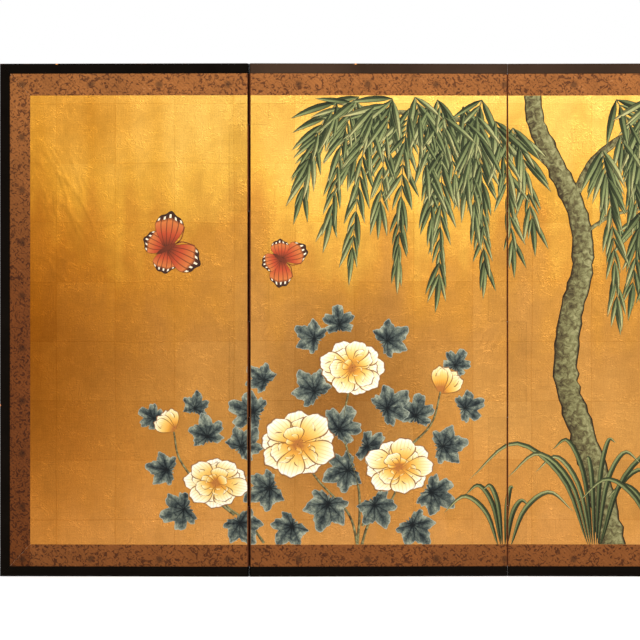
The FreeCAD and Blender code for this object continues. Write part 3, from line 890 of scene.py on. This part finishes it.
for panel in panelNumbers:
    edges = pictureEdges(panel)
    left, right, bottom, top = edges
    bm = newPiece()
    columns = round((right - left) / sheet["meshStep"])
    rows = round((top - bottom) / sheet["meshStep"])
    brush = bm.verts.layers.float_vector["brush"]
    leaves = pastedLeaves(panel)
    verts = bmesh.ops.create_grid(bm, x_segments=columns, y_segments=rows, size=0.5)["verts"]
    for vert in verts:
        x = left + (vert.co.x + 0.5) * (right - left)
        y = bottom + (vert.co.y + 0.5) * (top - bottom)
        vert.co = (x, y, sheetHeight(panel, x, y, edges))
        inside = max(min(x - leafLeft, leafRight - x, y - low, high - y)
                     for leafLeft, leafRight, low, high in leaves)
        vert[brush] = (inside, 0, 0)
    sinkRim(bm, verts, -screen["sheetThickness"])
    finishPiece(f"panel_{panel}_gold_sheet", bm, f"panel_{panel}", panel, "gold",
                [f"panel_{panel}_picture_sheet"])
print("gold sheets laid")

# brocade strips: mitred at the end panels' corners, folded edges, a slight crown over the paste
brocade = {
    "crown": 0.28,
    "foldRise": -0.25,
    "faceRise": 0.2,
    "step": 6.0,
    "rows": 10,
    "mitreGap": 0.35,
}


def brocadeStrip(bm, outer, inner):
    # outer and inner are the strip's long edges, each from its start to its end
    length = (outer[1] - outer[0]).length
    verts = bmesh.ops.create_grid(bm, x_segments=round(length / brocade["step"]),
                                  y_segments=brocade["rows"], size=0.5)["verts"]
    for vert in verts:
        along, side = vert.co.x + 0.5, vert.co.y + 0.5
        # the rows crowd towards the folded edges
        side = 0.5 - 0.5 * math.cos(side * math.pi)
        point = outer[0].lerp(outer[1], along).lerp(inner[0].lerp(inner[1], along), side)
        bow = math.sin(side * math.pi) ** 0.5
        vert.co = (point.x, point.y, brocade["foldRise"]
                   + (brocade["faceRise"] - brocade["foldRise"] + brocade["crown"]) * bow)
    sinkRim(bm, verts, -screen["sheetThickness"])


for panel in panelNumbers:
    left, right, bottom, top = pictureEdges(panel)
    low, high = screen["frameFace"], screen["height"] - screen["frameFace"]
    outLeft = left - (screen["sideBrocade"] if panel == panelNumbers[0] else 0)
    outRight = right + (screen["sideBrocade"] if panel == panelNumbers[-1] else 0)
    bm = newPiece()
    gap = brocade["mitreGap"]
    brocadeStrip(bm, (Vector((outLeft, high)), Vector((outRight, high))),
                 (Vector((left, top)), Vector((right, top))))
    brocadeStrip(bm, (Vector((outLeft, low)), Vector((outRight, low))),
                 (Vector((left, bottom)), Vector((right, bottom))))
    if outLeft < left:
        brocadeStrip(bm, (Vector((outLeft, low + gap)), Vector((outLeft, high - gap))),
                     (Vector((left, bottom + gap)), Vector((left, top - gap))))
    if outRight > right:
        brocadeStrip(bm, (Vector((outRight, low + gap)), Vector((outRight, high - gap))),
                     (Vector((right, bottom + gap)), Vector((right, top - gap))))
    finishPiece(f"panel_{panel}_brocade_strips", bm, f"panel_{panel}", panel, "brocade",
                [f"panel_{panel}_brocade_border"])
print("brocade laid")

# dark paper over a panel's edges in the seams. On the side that a seam is folded to at rest it
# has a rounded lip that reaches to the middle of the gap, so that no light comes through
edgePaper = {
    "thickness": 0.2,
    "wave": 0.03,
    "waveSize": 40.0,
    "depth": 16.8,
    "lipDepth": 1.0,
    "lipHalfHeight": 0.5,
    "lipClearance": 0.06,
    "columnStep": 24.0,
    "rows": 34,
}
railEnd = {
    "lipDepth": (8.9, 9.45),
    "clearance": 0.01,
    "root": 1.6,
    "endInset": 0.35,
    "coreInset": 0.05,
    "rows": 4,
}


def panelSeams(panel):
    # a panel's seams, each with the direction in which the panel ends there
    return [(seam, 1 if panel == seam else -1) for seam in seams if panel in (seam, seam + 1)]


for panel in panelNumbers:
    papers, ends = newPiece(), newPiece()
    low, high = screen["frameFace"], screen["height"] - screen["frameFace"]
    for seam, outward in panelSeams(panel):
        folded = seams[seam]["restFold"]
        edge = seamLine(seam) - outward * screen["hingeGap"] / 2
        lipPlace = -edgePaper["lipDepth"]
        if folded == "back":
            lipPlace = edgePaper["lipDepth"] - edgePaper["depth"]
        lipReach = screen["hingeGap"] / 2 - edgePaper["thickness"] - edgePaper["lipClearance"]
        verts = bmesh.ops.create_grid(papers, x_segments=round((high - low) / edgePaper["columnStep"]),
                                      y_segments=edgePaper["rows"], size=0.5)["verts"]
        for vert in verts:
            y = low + (vert.co.x + 0.5) * (high - low)
            z = -(vert.co.y + 0.5) * edgePaper["depth"]
            wave = edgePaper["wave"] * noise.noise(Vector((edge, y, z)) / edgePaper["waveSize"])
            lip = math.exp(-((z - lipPlace) / edgePaper["lipHalfHeight"]) ** 4)
            vert.co = (edge + outward * (edgePaper["thickness"] + wave + lipReach * lip), y, z)
        sinkRim(papers, verts, edge, axis=0)

        side = 1 if folded == "back" else -1
        near, far = (-screen["pictureFace"] - side * depth for depth in railEnd["lipDepth"])
        for bottom, top in ((railEnd["endInset"], low - railEnd["coreInset"]),
                            (high + railEnd["coreInset"], screen["height"] - railEnd["endInset"])):
            verts = bmesh.ops.create_grid(ends, x_segments=railEnd["rows"], y_segments=railEnd["rows"],
                                          size=0.5)["verts"]
            for vert in verts:
                y = bottom + (vert.co.x + 0.5) * (top - bottom)
                z = near + (vert.co.y + 0.5) * (far - near)
                vert.co = (seamLine(seam) - outward * railEnd["clearance"], y, z)
            sinkRim(ends, verts, seamLine(seam) - outward * railEnd["root"], axis=0)
    finishPiece(f"panel_{panel}_edge_papers", papers, f"panel_{panel}", panel, "edgePaper")
    finishPiece(f"panel_{panel}_rail_ends", ends, f"panel_{panel}", panel, "lacquer")

# hinge strips: dyed paper that crosses the gap in a slack curve, from the front edge of one panel
# to the back edge of the next. It stops short of the lips of the edge papers
strip = {
    "thickness": 0.6,
    "reach": 0.78,
    "deep": 8.0,
    "shortDeep": 6.2,
    "wave": 0.04,
    "waveSize": 30.0,
    "columnStep": 8.0,
    "rows": 14,
}
for seam, facts in seams.items():
    childSide = 1 if facts["moving"] > facts["fixed"] else -1
    front = strip["shortDeep"] if facts["restFold"] == "front" else strip["deep"]
    back = strip["shortDeep"] if facts["restFold"] == "back" else strip["deep"]
    for start in ("front", "back"):
        # folded back, the strips from the front stay with the fixed panel; folded to the front,
        # they go with the moving one
        stays = (start == "front") == (facts["restFold"] == "back")
        panel = facts["fixed"] if stays else facts["moving"]
        frontSide = -childSide if start == "front" else childSide
        bm = newPiece()
        for low, high in stripHeights(seam, start):
            made = bmesh.ops.create_grid(bm, x_segments=round((high - low) / strip["columnStep"]),
                                         y_segments=strip["rows"], size=0.5)["verts"]
            for vert in made:
                y = low + (vert.co.x + 0.5) * (high - low)
                share = vert.co.y + 0.5
                depth = -front + share * (front + back)
                slack = strip["wave"] * noise.noise(Vector((seam * 50.0, y, depth)) / strip["waveSize"])
                across = frontSide * strip["reach"] * math.cos(share * math.pi) + slack
                vert.co = (seamLine(seam) + across - strip["thickness"] / 2, y,
                           -screen["pictureFace"] - depth)
            sides = dict.fromkeys(face for vert in made for face in vert.link_faces)
            thick = bmesh.ops.extrude_face_region(bm, geom=list(sides), use_keep_orig=True)["geom"]
            for part in thick:
                if isinstance(part, bmesh.types.BMVert):
                    part.co.x += strip["thickness"]
        nodeName = f"seam_{seam}_strips_from_{start}"
        finishPiece(f"seam_{seam}_paper_from_{start}", bm, nodeName, panel, "hingePaper",
                    [nodeName])
print("hinges laid")

# the painting: raised pigment, each stroke a low plate on the gold. An old willow, tree peonies,
# grass and butterflies, all of them stock subjects, placed for this screen
painting = {
    "lowest": 0.16,
    "levels": 41,
    "levelStep": 0.013,
    "sink": -0.3,
    "strokeCrown": 0.10,
    # the slate leaves lie lowest, the petals over them
    "leafShare": 0.4,
    "petalRise": 0.36,
    "petalShare": 0.55,
    "petalCup": 0.16,
    "leafDome": 0.12,
    "margin": 0.3,
}
strokes = {kind: newPiece() for kind in ("branches", "willow_leaves", "grass", "slate_leaves",
                                         "peonies", "butterflies")}
strokeCount = 0


def nextHeight(base=0.0, share=1.0):
    # strokes that overlap lie at different heights, as wet paint over dry
    global strokeCount
    strokeCount += 1
    level = strokeCount * 17 % painting["levels"]
    return painting["lowest"] + base + share * painting["levelStep"] * level


def smoothPath(points, steps):
    # a smooth line through the points
    ends = [points[0] * 2 - points[1], *points, points[-1] * 2 - points[-2]]
    line = []
    for step in range(steps + 1):
        along = step / steps * (len(points) - 1)
        part = min(int(along), len(points) - 2)
        share = along - part
        a, b, c, d = ends[part:part + 4]
        line.append(0.5 * (2 * b + (c - a) * share + (2 * a - 5 * b + 4 * c - d) * share ** 2
                           + (3 * b - a - 3 * c + d) * share ** 3))
    return line


def brushStroke(kind, path, width, tone, profile, rows=2, height=None, ragged=0.0, spread=1.0):
    bm = strokes[kind]
    brush = bm.verts.layers.float_vector["brush"]
    rise = nextHeight() if height is None else height
    steps = len(path) - 1
    verts = bmesh.ops.create_grid(bm, x_segments=steps, y_segments=rows, size=0.5)["verts"]
    for vert in verts:
        along, side = vert.co.x + 0.5, vert.co.y + 0.5
        at = round(along * steps)
        ahead = path[min(at + 1, steps)] - path[max(at - 1, 0)]
        sideways = Vector((-ahead.y, ahead.x)).normalized()
        half = (side - 0.5) * width * profile(along)
        if ragged:
            half *= 1 + ragged * noise.noise(Vector((path[at].x, path[at].y, side * 40)) / 14)
        point = path[at] + sideways * half
        vert.co = (point.x, point.y, rise + painting["strokeCrown"] * (1 - (2 * side - 1) ** 2))
        vert[brush] = (along * spread, side, tone)
    sinkRim(bm, verts, painting["sink"])


def leafProfile(along):
    return 0.04 + 0.96 * math.sin(math.pi * along ** 0.8) ** 0.9


def taper(start, end):
    return lambda along: start + (end - start) * along


def willowLeaf(start, heading, length, bend):
    way = Vector((math.cos(heading), math.sin(heading)))
    sag = Vector((-way.y, way.x)) * bend * length
    path = [start + way * length * share + sag * share ** 2 for share in (0, 0.2, 0.4, 0.6, 0.8, 1)]
    brushStroke("willow_leaves", path, length * willow["leafShare"], dice.uniform(-0.12, 0.35),
                leafProfile)


willow = {
    "leafLength": (52.0, 88.0),
    "leafShare": 0.15,
    "leafSpacing": 15.0,
    "leafSpread": (16.0, 46.0),
    "twigWidth": 2.6,
    "twigSteps": 12,
    "trunk": [(1096, 40), (1072, 150), (1040, 255), (1012, 350), (1016, 455), (1040, 555),
              (1030, 650), (990, 735), (960, 800), (948, 875)],
    "trunkWidth": (50.0, 30.0),
    "boughs": [
        # points on the flat screen, width at the start
        ([(1004, 708), (950, 762), (872, 800), (780, 822), (680, 830), (590, 846)], 16.0),
        ([(1022, 672), (1062, 744), (1130, 792), (1220, 820), (1330, 826), (1450, 846)], 17.0),
        ([(1450, 900), (1500, 836), (1570, 800), (1660, 790), (1760, 812)], 14.0),
        ([(1030, 600), (1085, 640), (1150, 655), (1215, 640)], 8.0),
    ],
    "sprays": [
        # x and y where a spray starts, how far it drops, how far it swings sideways
        (600, 845, 150, -60), (635, 850, 205, -45), (668, 838, 250, -40), (700, 850, 180, -22),
        (730, 835, 262, -20), (762, 842, 200, 8), (795, 830, 290, -12), (826, 838, 190, 22),
        (852, 820, 255, 12), (884, 812, 210, 30), (915, 800, 160, 34), (700, 852, 110, -75),
        (640, 855, 110, -90), (780, 850, 130, 30), (860, 850, 150, -30), (740, 855, 120, 20),
        (1075, 760, 260, 26), (1108, 786, 205, 38), (1140, 800, 300, 20), (1180, 815, 220, 40),
        (1215, 824, 330, 22), (1252, 826, 240, 44), (1290, 830, 300, 30), (1330, 832, 210, 52),
        (1100, 850, 120, 40), (1160, 852, 130, -30), (1235, 852, 120, 20), (1300, 855, 130, 60),
        (1215, 640, 150, 36), (1180, 652, 190, 12), (1150, 655, 130, -20),
        (1450, 850, 240, -40), (1490, 845, 200, -20), (1530, 830, 290, -14), (1570, 806, 240, 10),
        (1610, 800, 320, 16), (1650, 796, 250, 30), (1690, 800, 300, 34), (1730, 810, 220, 40),
        (1500, 855, 120, -40), (1600, 855, 130, 20), (1680, 855, 120, 40), (1550, 855, 110, -10),
    ],
}

trunkPath = smoothPath([Vector(point) for point in willow["trunk"]], 70)
startWidth, endWidth = willow["trunkWidth"]
brushStroke("branches", trunkPath, startWidth, 0.0, taper(1.0, endWidth / startWidth), rows=4,
            height=painting["lowest"], ragged=0.30)
for points, width in willow["boughs"]:
    path = smoothPath([Vector(point) for point in points], 36)
    brushStroke("branches", path, width, 0.0, taper(1.0, 0.3), ragged=0.35,
                height=painting["lowest"] * 0.9)
for x, y, drop, swing in willow["sprays"]:
    start = Vector((x, y))
    steps = willow["twigSteps"]
    path = smoothPath([start, start + Vector((swing * 0.55, -drop * 0.35)),
                       start + Vector((swing, -drop))], steps)
    brushStroke("branches", path, willow["twigWidth"], 0.0, taper(1.0, 0.5), rows=1,
                height=painting["lowest"] * 1.1)
    count = int(drop / willow["leafSpacing"])
    for number in range(count + 1):
        share = number / count
        at = min(int(share * steps), steps - 1)
        tangent = path[at + 1] - path[at]
        heading = math.atan2(tangent.y, tangent.x)
        for side in (-1, 1):
            spread = math.radians(dice.uniform(*willow["leafSpread"])) * (1 - 0.45 * share)
            length = dice.uniform(*willow["leafLength"]) * (1 - 0.25 * share)
            willowLeaf(path[at].lerp(path[at + 1], share * steps - at), heading + side * spread, length,
                       -side * dice.uniform(0.02, 0.14))
    willowLeaf(path[-1], heading, willow["leafLength"][1] * 0.8, dice.uniform(-0.1, 0.1))
print("willow painted")

peony = {
    "blooms": [
        # x, y, radius, turn in degrees, how far the flower leans down
        (530, 236, 70.0, 12, 0.86), (712, 196, 62.0, 75, 0.80), (628, 372, 58.0, 200, 0.9),
        (388, 168, 56.0, 140, 0.82), (1262, 200, 66.0, 40, 0.85), (1444, 262, 72.0, 110, 0.9),
        (1580, 168, 58.0, 300, 0.82),
    ],
    "buds": [(786, 330, 24.0, 62), (312, 262, 20.0, 130), (1340, 366, 24.0, 80), (1670, 292, 22.0, 50)],
    "budSpread": (-0.55, 0.55, -0.2, 0.25),
    "ringTurn": 21,
    "rings": [
        # petals in the ring, start and length as shares of the radius, width share, tone
        (9, 0.18, 0.84, 0.66, 0.10), (8, 0.12, 0.66, 0.58, 0.02), (7, 0.08, 0.48, 0.50, -0.06),
        (6, 0.02, 0.32, 0.36, -0.16),
    ],
    "stems": [
        # points from the ground to the flower
        [(640, 40), (622, 110), (568, 170), (530, 225)], [(640, 40), (660, 100), (700, 140), (712, 190)],
        [(636, 40), (640, 150), (612, 260), (628, 360)], [(646, 90), (712, 210), (768, 270), (786, 330)],
        [(470, 60), (440, 100), (408, 125), (388, 160)], [(420, 110), (360, 160), (322, 210), (312, 258)],
        [(1350, 40), (1330, 100), (1290, 150), (1262, 190)],
        [(1350, 40), (1380, 130), (1420, 190), (1444, 250)],
        [(1356, 90), (1340, 190), (1322, 280), (1340, 360)],
        [(1500, 50), (1530, 100), (1560, 130), (1580, 160)],
        [(1540, 110), (1600, 180), (1650, 230), (1670, 288)],
    ],
    "stemWidth": 5.0,
    "leaves": [
        # x, y, size, direction in degrees
        (480, 158, 46, 205), (585, 130, 50, 250), (452, 292, 44, 160), (604, 262, 46, 60),
        (560, 330, 44, 130), (690, 300, 46, 35), (668, 128, 44, 300), (770, 150, 46, 330),
        (790, 232, 44, 10), (742, 286, 40, 80), (560, 424, 38, 150), (690, 420, 42, 30),
        (604, 448, 36, 95), (520, 90, 42, 230), (736, 92, 44, 310), (620, 190, 46, 200),
        (830, 300, 36, 20), (812, 376, 32, 60), (470, 350, 34, 140), (655, 232, 40, 340),
        (330, 120, 44, 200), (430, 96, 42, 300), (372, 250, 40, 100), (300, 190, 38, 170),
        (432, 232, 40, 50), (276, 282, 30, 150), (350, 300, 30, 80),
        (1200, 140, 46, 200), (1310, 128, 46, 290), (1196, 250, 42, 150), (1330, 232, 44, 80),
        (1384, 180, 44, 300), (1500, 190, 46, 330), (1390, 330, 42, 120), (1500, 330, 42, 40),
        (1270, 300, 38, 110), (1420, 120, 44, 250), (1520, 110, 42, 210), (1650, 130, 44, 330),
        (1640, 220, 40, 20), (1720, 300, 32, 10), (1610, 260, 36, 100), (1296, 400, 34, 130),
        (1392, 406, 34, 50), (1700, 84, 38, 300),
    ],
    "leafSteps": 88,
}


def petal(kind, centre, heading, start, length, width, tone, lean, steps=8):
    # a fan that widens from its heart to a scalloped lip, seen a little from the side
    bm = strokes[kind]
    brush = bm.verts.layers.float_vector["brush"]
    rise = nextHeight(painting["petalRise"] - painting["lowest"], painting["petalShare"])
    verts = bmesh.ops.create_grid(bm, x_segments=steps, y_segments=steps, size=0.5)["verts"]
    phase = dice.uniform(0, math.tau)
    for vert in verts:
        along, side = vert.co.x + 0.5, vert.co.y + 0.5
        across = 2 * side - 1
        half = width / 2 * (0.16 + 0.84 * math.sin(math.pi * min(1, 0.06 + 0.62 * along)) ** 1.1)
        reach = start + length * along * (1 - 0.26 * across ** 2 * along)
        reach += length * 0.035 * math.sin(across * 7 + phase) * along ** 3
        x, y = reach, half * across
        turned = Vector((x * math.cos(heading) - y * math.sin(heading),
                         (x * math.sin(heading) + y * math.cos(heading)) * lean))
        vert.co = (centre.x + turned.x, centre.y + turned.y,
                   rise + painting["petalCup"] * along * abs(across))
        vert[brush] = (along, side, tone)
    sinkRim(bm, verts, painting["sink"])


def slateLeaf(x, y, size, degrees):
    # a leaf of five pointed lobes, its rim turned into the gold
    bm = strokes["slate_leaves"]
    brush = bm.verts.layers.float_vector["brush"]
    rise = nextHeight(0.0, painting["leafShare"])
    turn = math.radians(degrees)
    lobes = ((-108, 0.60), (-56, 0.86), (0, 1.06), (56, 0.86), (108, 0.60))
    verts = bmesh.ops.create_circle(bm, cap_ends=True, cap_tris=True, radius=1,
                                    segments=peony["leafSteps"])["verts"]
    uneven = dice.uniform(0, math.tau)
    for vert in verts:
        around = math.atan2(vert.co.y, vert.co.x)
        out = vert.co.xy.length
        lobe = max(reach * math.exp(-((math.degrees(around) - angle) / 34) ** 2)
                   for angle, reach in lobes)
        frill = 0.045 * math.sin(around * 13 + uneven) + 0.025 * math.sin(around * 23 - uneven)
        radius = size * out * (0.26 + 0.74 * lobe + frill)
        local = Vector((radius * math.cos(around), radius * math.sin(around)))
        vert.co = (x + local.x * math.cos(turn) - local.y * math.sin(turn),
                   y + local.x * math.sin(turn) + local.y * math.cos(turn),
                   rise + painting["leafDome"] * (1 - out))
        vert[brush] = (local.y / size, local.x / size, out)
    sinkRim(bm, verts, painting["sink"])


for points in peony["stems"]:
    path = smoothPath([Vector(point) for point in points], 18)
    brushStroke("branches", path, peony["stemWidth"], 0.0, taper(1.0, 0.6), rows=2, ragged=0.2,
                height=painting["lowest"] * 0.8)
for x, y, size, degrees in peony["leaves"]:
    slateLeaf(x, y, size, degrees)
for x, y, radius, degrees, lean in peony["blooms"]:
    centre = Vector((x, y))
    for count, start, length, width, tone in peony["rings"]:
        for number in range(count):
            heading = math.radians(degrees) + (number + dice.uniform(-0.18, 0.18)) / count * math.tau
            scale = radius * dice.uniform(0.9, 1.08)
            petal("peonies", centre, heading, start * radius, length * scale, width * radius * 1.15,
                  tone + dice.uniform(-0.05, 0.05), lean)
        degrees += peony["ringTurn"]
for x, y, radius, degrees in peony["buds"]:
    for spread in peony["budSpread"]:
        petal("peonies", Vector((x, y)), math.radians(degrees) + spread, 0, radius * 1.9, radius * 1.3,
              dice.uniform(-0.2, 0.05), 1.0)
print("peonies painted")

grass = {
    "tufts": [
        # x, y, number of blades, reach
        (1062, 57, 9, 210.0), (1180, 57, 7, 150.0), (900, 57, 6, 130.0), (1720, 57, 7, 170.0),
    ],
    "bladeWidth": 9.0,
}
for x, y, count, reach in grass["tufts"]:
    for number in range(count):
        lean = (number + 0.5) / count * 2 - 1 + dice.uniform(-0.12, 0.12)
        length = reach * dice.uniform(0.75, 1.1)
        foot = Vector((x + lean * 12, y - 4))
        path = smoothPath([foot, foot + Vector((lean * length * 0.22, length * 0.55)),
                           foot + Vector((lean * length * 0.62, length * 0.82)),
                           foot + Vector((lean * length * 1.0, length * (0.86 - abs(lean) * 0.35)))], 14)
        brushStroke("grass", path, grass["bladeWidth"], dice.uniform(-0.1, 0.25), leafProfile)

butterflies = [
    # x, y, wing span, turn in degrees
    (300, 585, 118.0, 28), (500, 566, 92.0, -34), (1466, 446, 92.0, 18),
]
for x, y, span, degrees in butterflies:
    centre = Vector((x, y))
    turn = math.radians(degrees)
    for side in (-1, 1):
        petal("butterflies", centre, turn + side * math.radians(128), span * 0.02, span * 0.36,
              span * 0.36, 0.0, 1.0, steps=14)
        petal("butterflies", centre, turn + side * math.radians(56), span * 0.03, span * 0.52,
              span * 0.44, 0.0, 1.0, steps=14)
    way = Vector((math.cos(turn), math.sin(turn)))
    body = [centre + way * span * share for share in (-0.2, -0.12, -0.04, 0.04, 0.12, 0.17)]
    brushStroke("butterflies", body, span * 0.07, 0.0, leafProfile, height=painting["lowest"] + 0.6,
                spread=0.1)
    for side in (-1, 1):
        tip = turn + side * 0.4
        feeler = [centre + way * span * 0.16,
                  centre + way * span * 0.26 + Vector((-way.y, way.x)) * side * span * 0.03,
                  centre + Vector((math.cos(tip), math.sin(tip))) * span * 0.42]
        brushStroke("butterflies", smoothPath(feeler, 8), span * 0.016, 0.0, taper(1.0, 0.8), rows=1,
                    height=painting["lowest"] + 0.5, spread=0.1)

pigmentOf = {"branches": "bark", "willow_leaves": "willow", "grass": "willow",
             "slate_leaves": "slateLeaf", "peonies": "petal", "butterflies": "wing"}
for kind, bm in strokes.items():
    for panel in panelNumbers:
        part = bm.copy()
        trimTo(part, pictureEdges(panel), painting["margin"])
        if part.faces:
            finishPiece(f"panel_{panel}_painted_{kind}", part, f"panel_{panel}", panel, pigmentOf[kind])
        else:
            part.free()
    bm.free()
print("painting hung:", strokeCount, "strokes")

# the studio: a pale floor, a soft lamp high in front, weaker ones at the left and low down, and one
# for the back
studio = {
    "floorSize": 60.0,
    "distance": 20.0,
    "sensor": 36.0,
    "imageWidth": 640,
    "mmPerPixel": 1.783,
    "leftEdge": 0.5,
    "middleHeight": 457.15,
    "ambient": 0.42,         # the light that falls from all round; what is seen is white
    "floor": "#e6e6e6",
    # how brightly the floor is seen to glow near the screen and far off, and how far that is in metres
    "floorGlow": (0.38, 0.8),
    "floorReach": (1.3, 3.2),
    "lamps": {
        # place, the point it is aimed at, its two sides in metres, power
        "keyLamp": ((0.5, -1.75, 1.72), (0.15, 0.0, 0.7), (1.5, 0.5), 41.0),
        "leftLamp": ((-0.98, -1.8, 1.66), (-0.65, 0.0, 0.75), (0.6, 0.4), 10.5),
        "lowLamp": ((-0.2, -3.2, 0.3), (-0.2, 0.0, 0.3), (3.2, 0.5), 14.0),
        "backLamp": ((-0.5, 2.6, 1.9), (0.0, 0.0, 0.45), (1.6, 0.8), 26.0),
    },
}


def seenDirectly(tree):
    # 1 for what the camera sees or what a gloss mirrors, 0 for the light that falls on things
    path = addNode(tree, "LightPath")
    seen = path.outputs["Is Camera Ray"]
    for ray in ("Is Glossy Ray", "Is Transmission Ray"):
        seen = addNode(tree, "Math", {"operation": "MAXIMUM"}, {0: seen, 1: path.outputs[ray]})
    return seen


world = bpy.data.worlds.new("studioWorld")
bpy.context.scene.world = world
world.use_nodes = True
worldTree = world.node_tree
strength = addNode(worldTree, "MapRange", {"To Min": studio["ambient"], "To Max": 1.0},
                   {0: seenDirectly(worldTree)})
setUp(worldTree.nodes["Background"], {"Color": (1, 1, 1, 1)})
wire(worldTree.nodes["Background"], {"Strength": strength})

floorFinish, floorTree, floorShader = newFinish("studioFloor", {
    "Base Color": studio["floor"], "Roughness": 0.9, "Specular IOR Level": 0.1,
    "Emission Color": (1, 1, 1, 1)})
# the floor glows more away from the screen, so its edge melts into the white and the shadow stays
spot = addNode(floorTree, "TexCoord").outputs["Object"]
away = addNode(floorTree, "VectorMath", {"operation": "LENGTH"}, {0: spot})
(near, far), (dim, bright) = studio["floorReach"], studio["floorGlow"]
farGlow = addNode(floorTree, "MapRange",
                  {"From Min": near, "From Max": far, "To Min": dim, "To Max": bright}, {0: away})
glow = addNode(floorTree, "Math", {"operation": "MULTIPLY"}, {0: seenDirectly(floorTree), 1: farGlow})
wire(floorShader, {"Emission Strength": glow})
floorMesh = bpy.data.meshes.new("studioFloor")
bm = bmesh.new()
bmesh.ops.create_grid(bm, x_segments=1, y_segments=1, size=studio["floorSize"] / 2)
bm.to_mesh(floorMesh)
bm.free()
floorMesh.materials.append(floorFinish)
floor = bpy.data.objects.new("studioFloor", floorMesh)
bpy.context.scene.collection.objects.link(floor)

for name, (place, aim, sides, power) in studio["lamps"].items():
    lamp = bpy.data.lights.new(name, "AREA")
    lamp.shape = "RECTANGLE"
    lamp.size, lamp.size_y = sides
    lamp.energy = power
    holder = bpy.data.objects.new(name, lamp)
    holder.location = place
    holder.rotation_euler = (Vector(aim) - Vector(place)).to_track_quat("-Z", "Y").to_euler()
    bpy.context.scene.collection.objects.link(holder)

frameWidth = studio["imageWidth"] * studio["mmPerPixel"] * metresPerMm
camera = bpy.data.cameras.new("camera")
camera.sensor_width = studio["sensor"]
camera.lens = studio["sensor"] * studio["distance"] / frameWidth
camera.clip_end = studio["floorSize"]
cameraObject = bpy.data.objects.new("camera", camera)
cameraObject.location = (cadBox[0][0] + studio["leftEdge"] * metresPerMm + frameWidth / 2,
                         -studio["distance"], studio["middleHeight"] * metresPerMm)
cameraObject.rotation_euler = (math.pi / 2, 0, 0)
bpy.context.scene.collection.objects.link(cameraObject)
bpy.context.scene.camera = cameraObject
bpy.context.scene.view_settings.view_transform = "Standard"
print("studio ready")

bpy.context.view_layer.update()
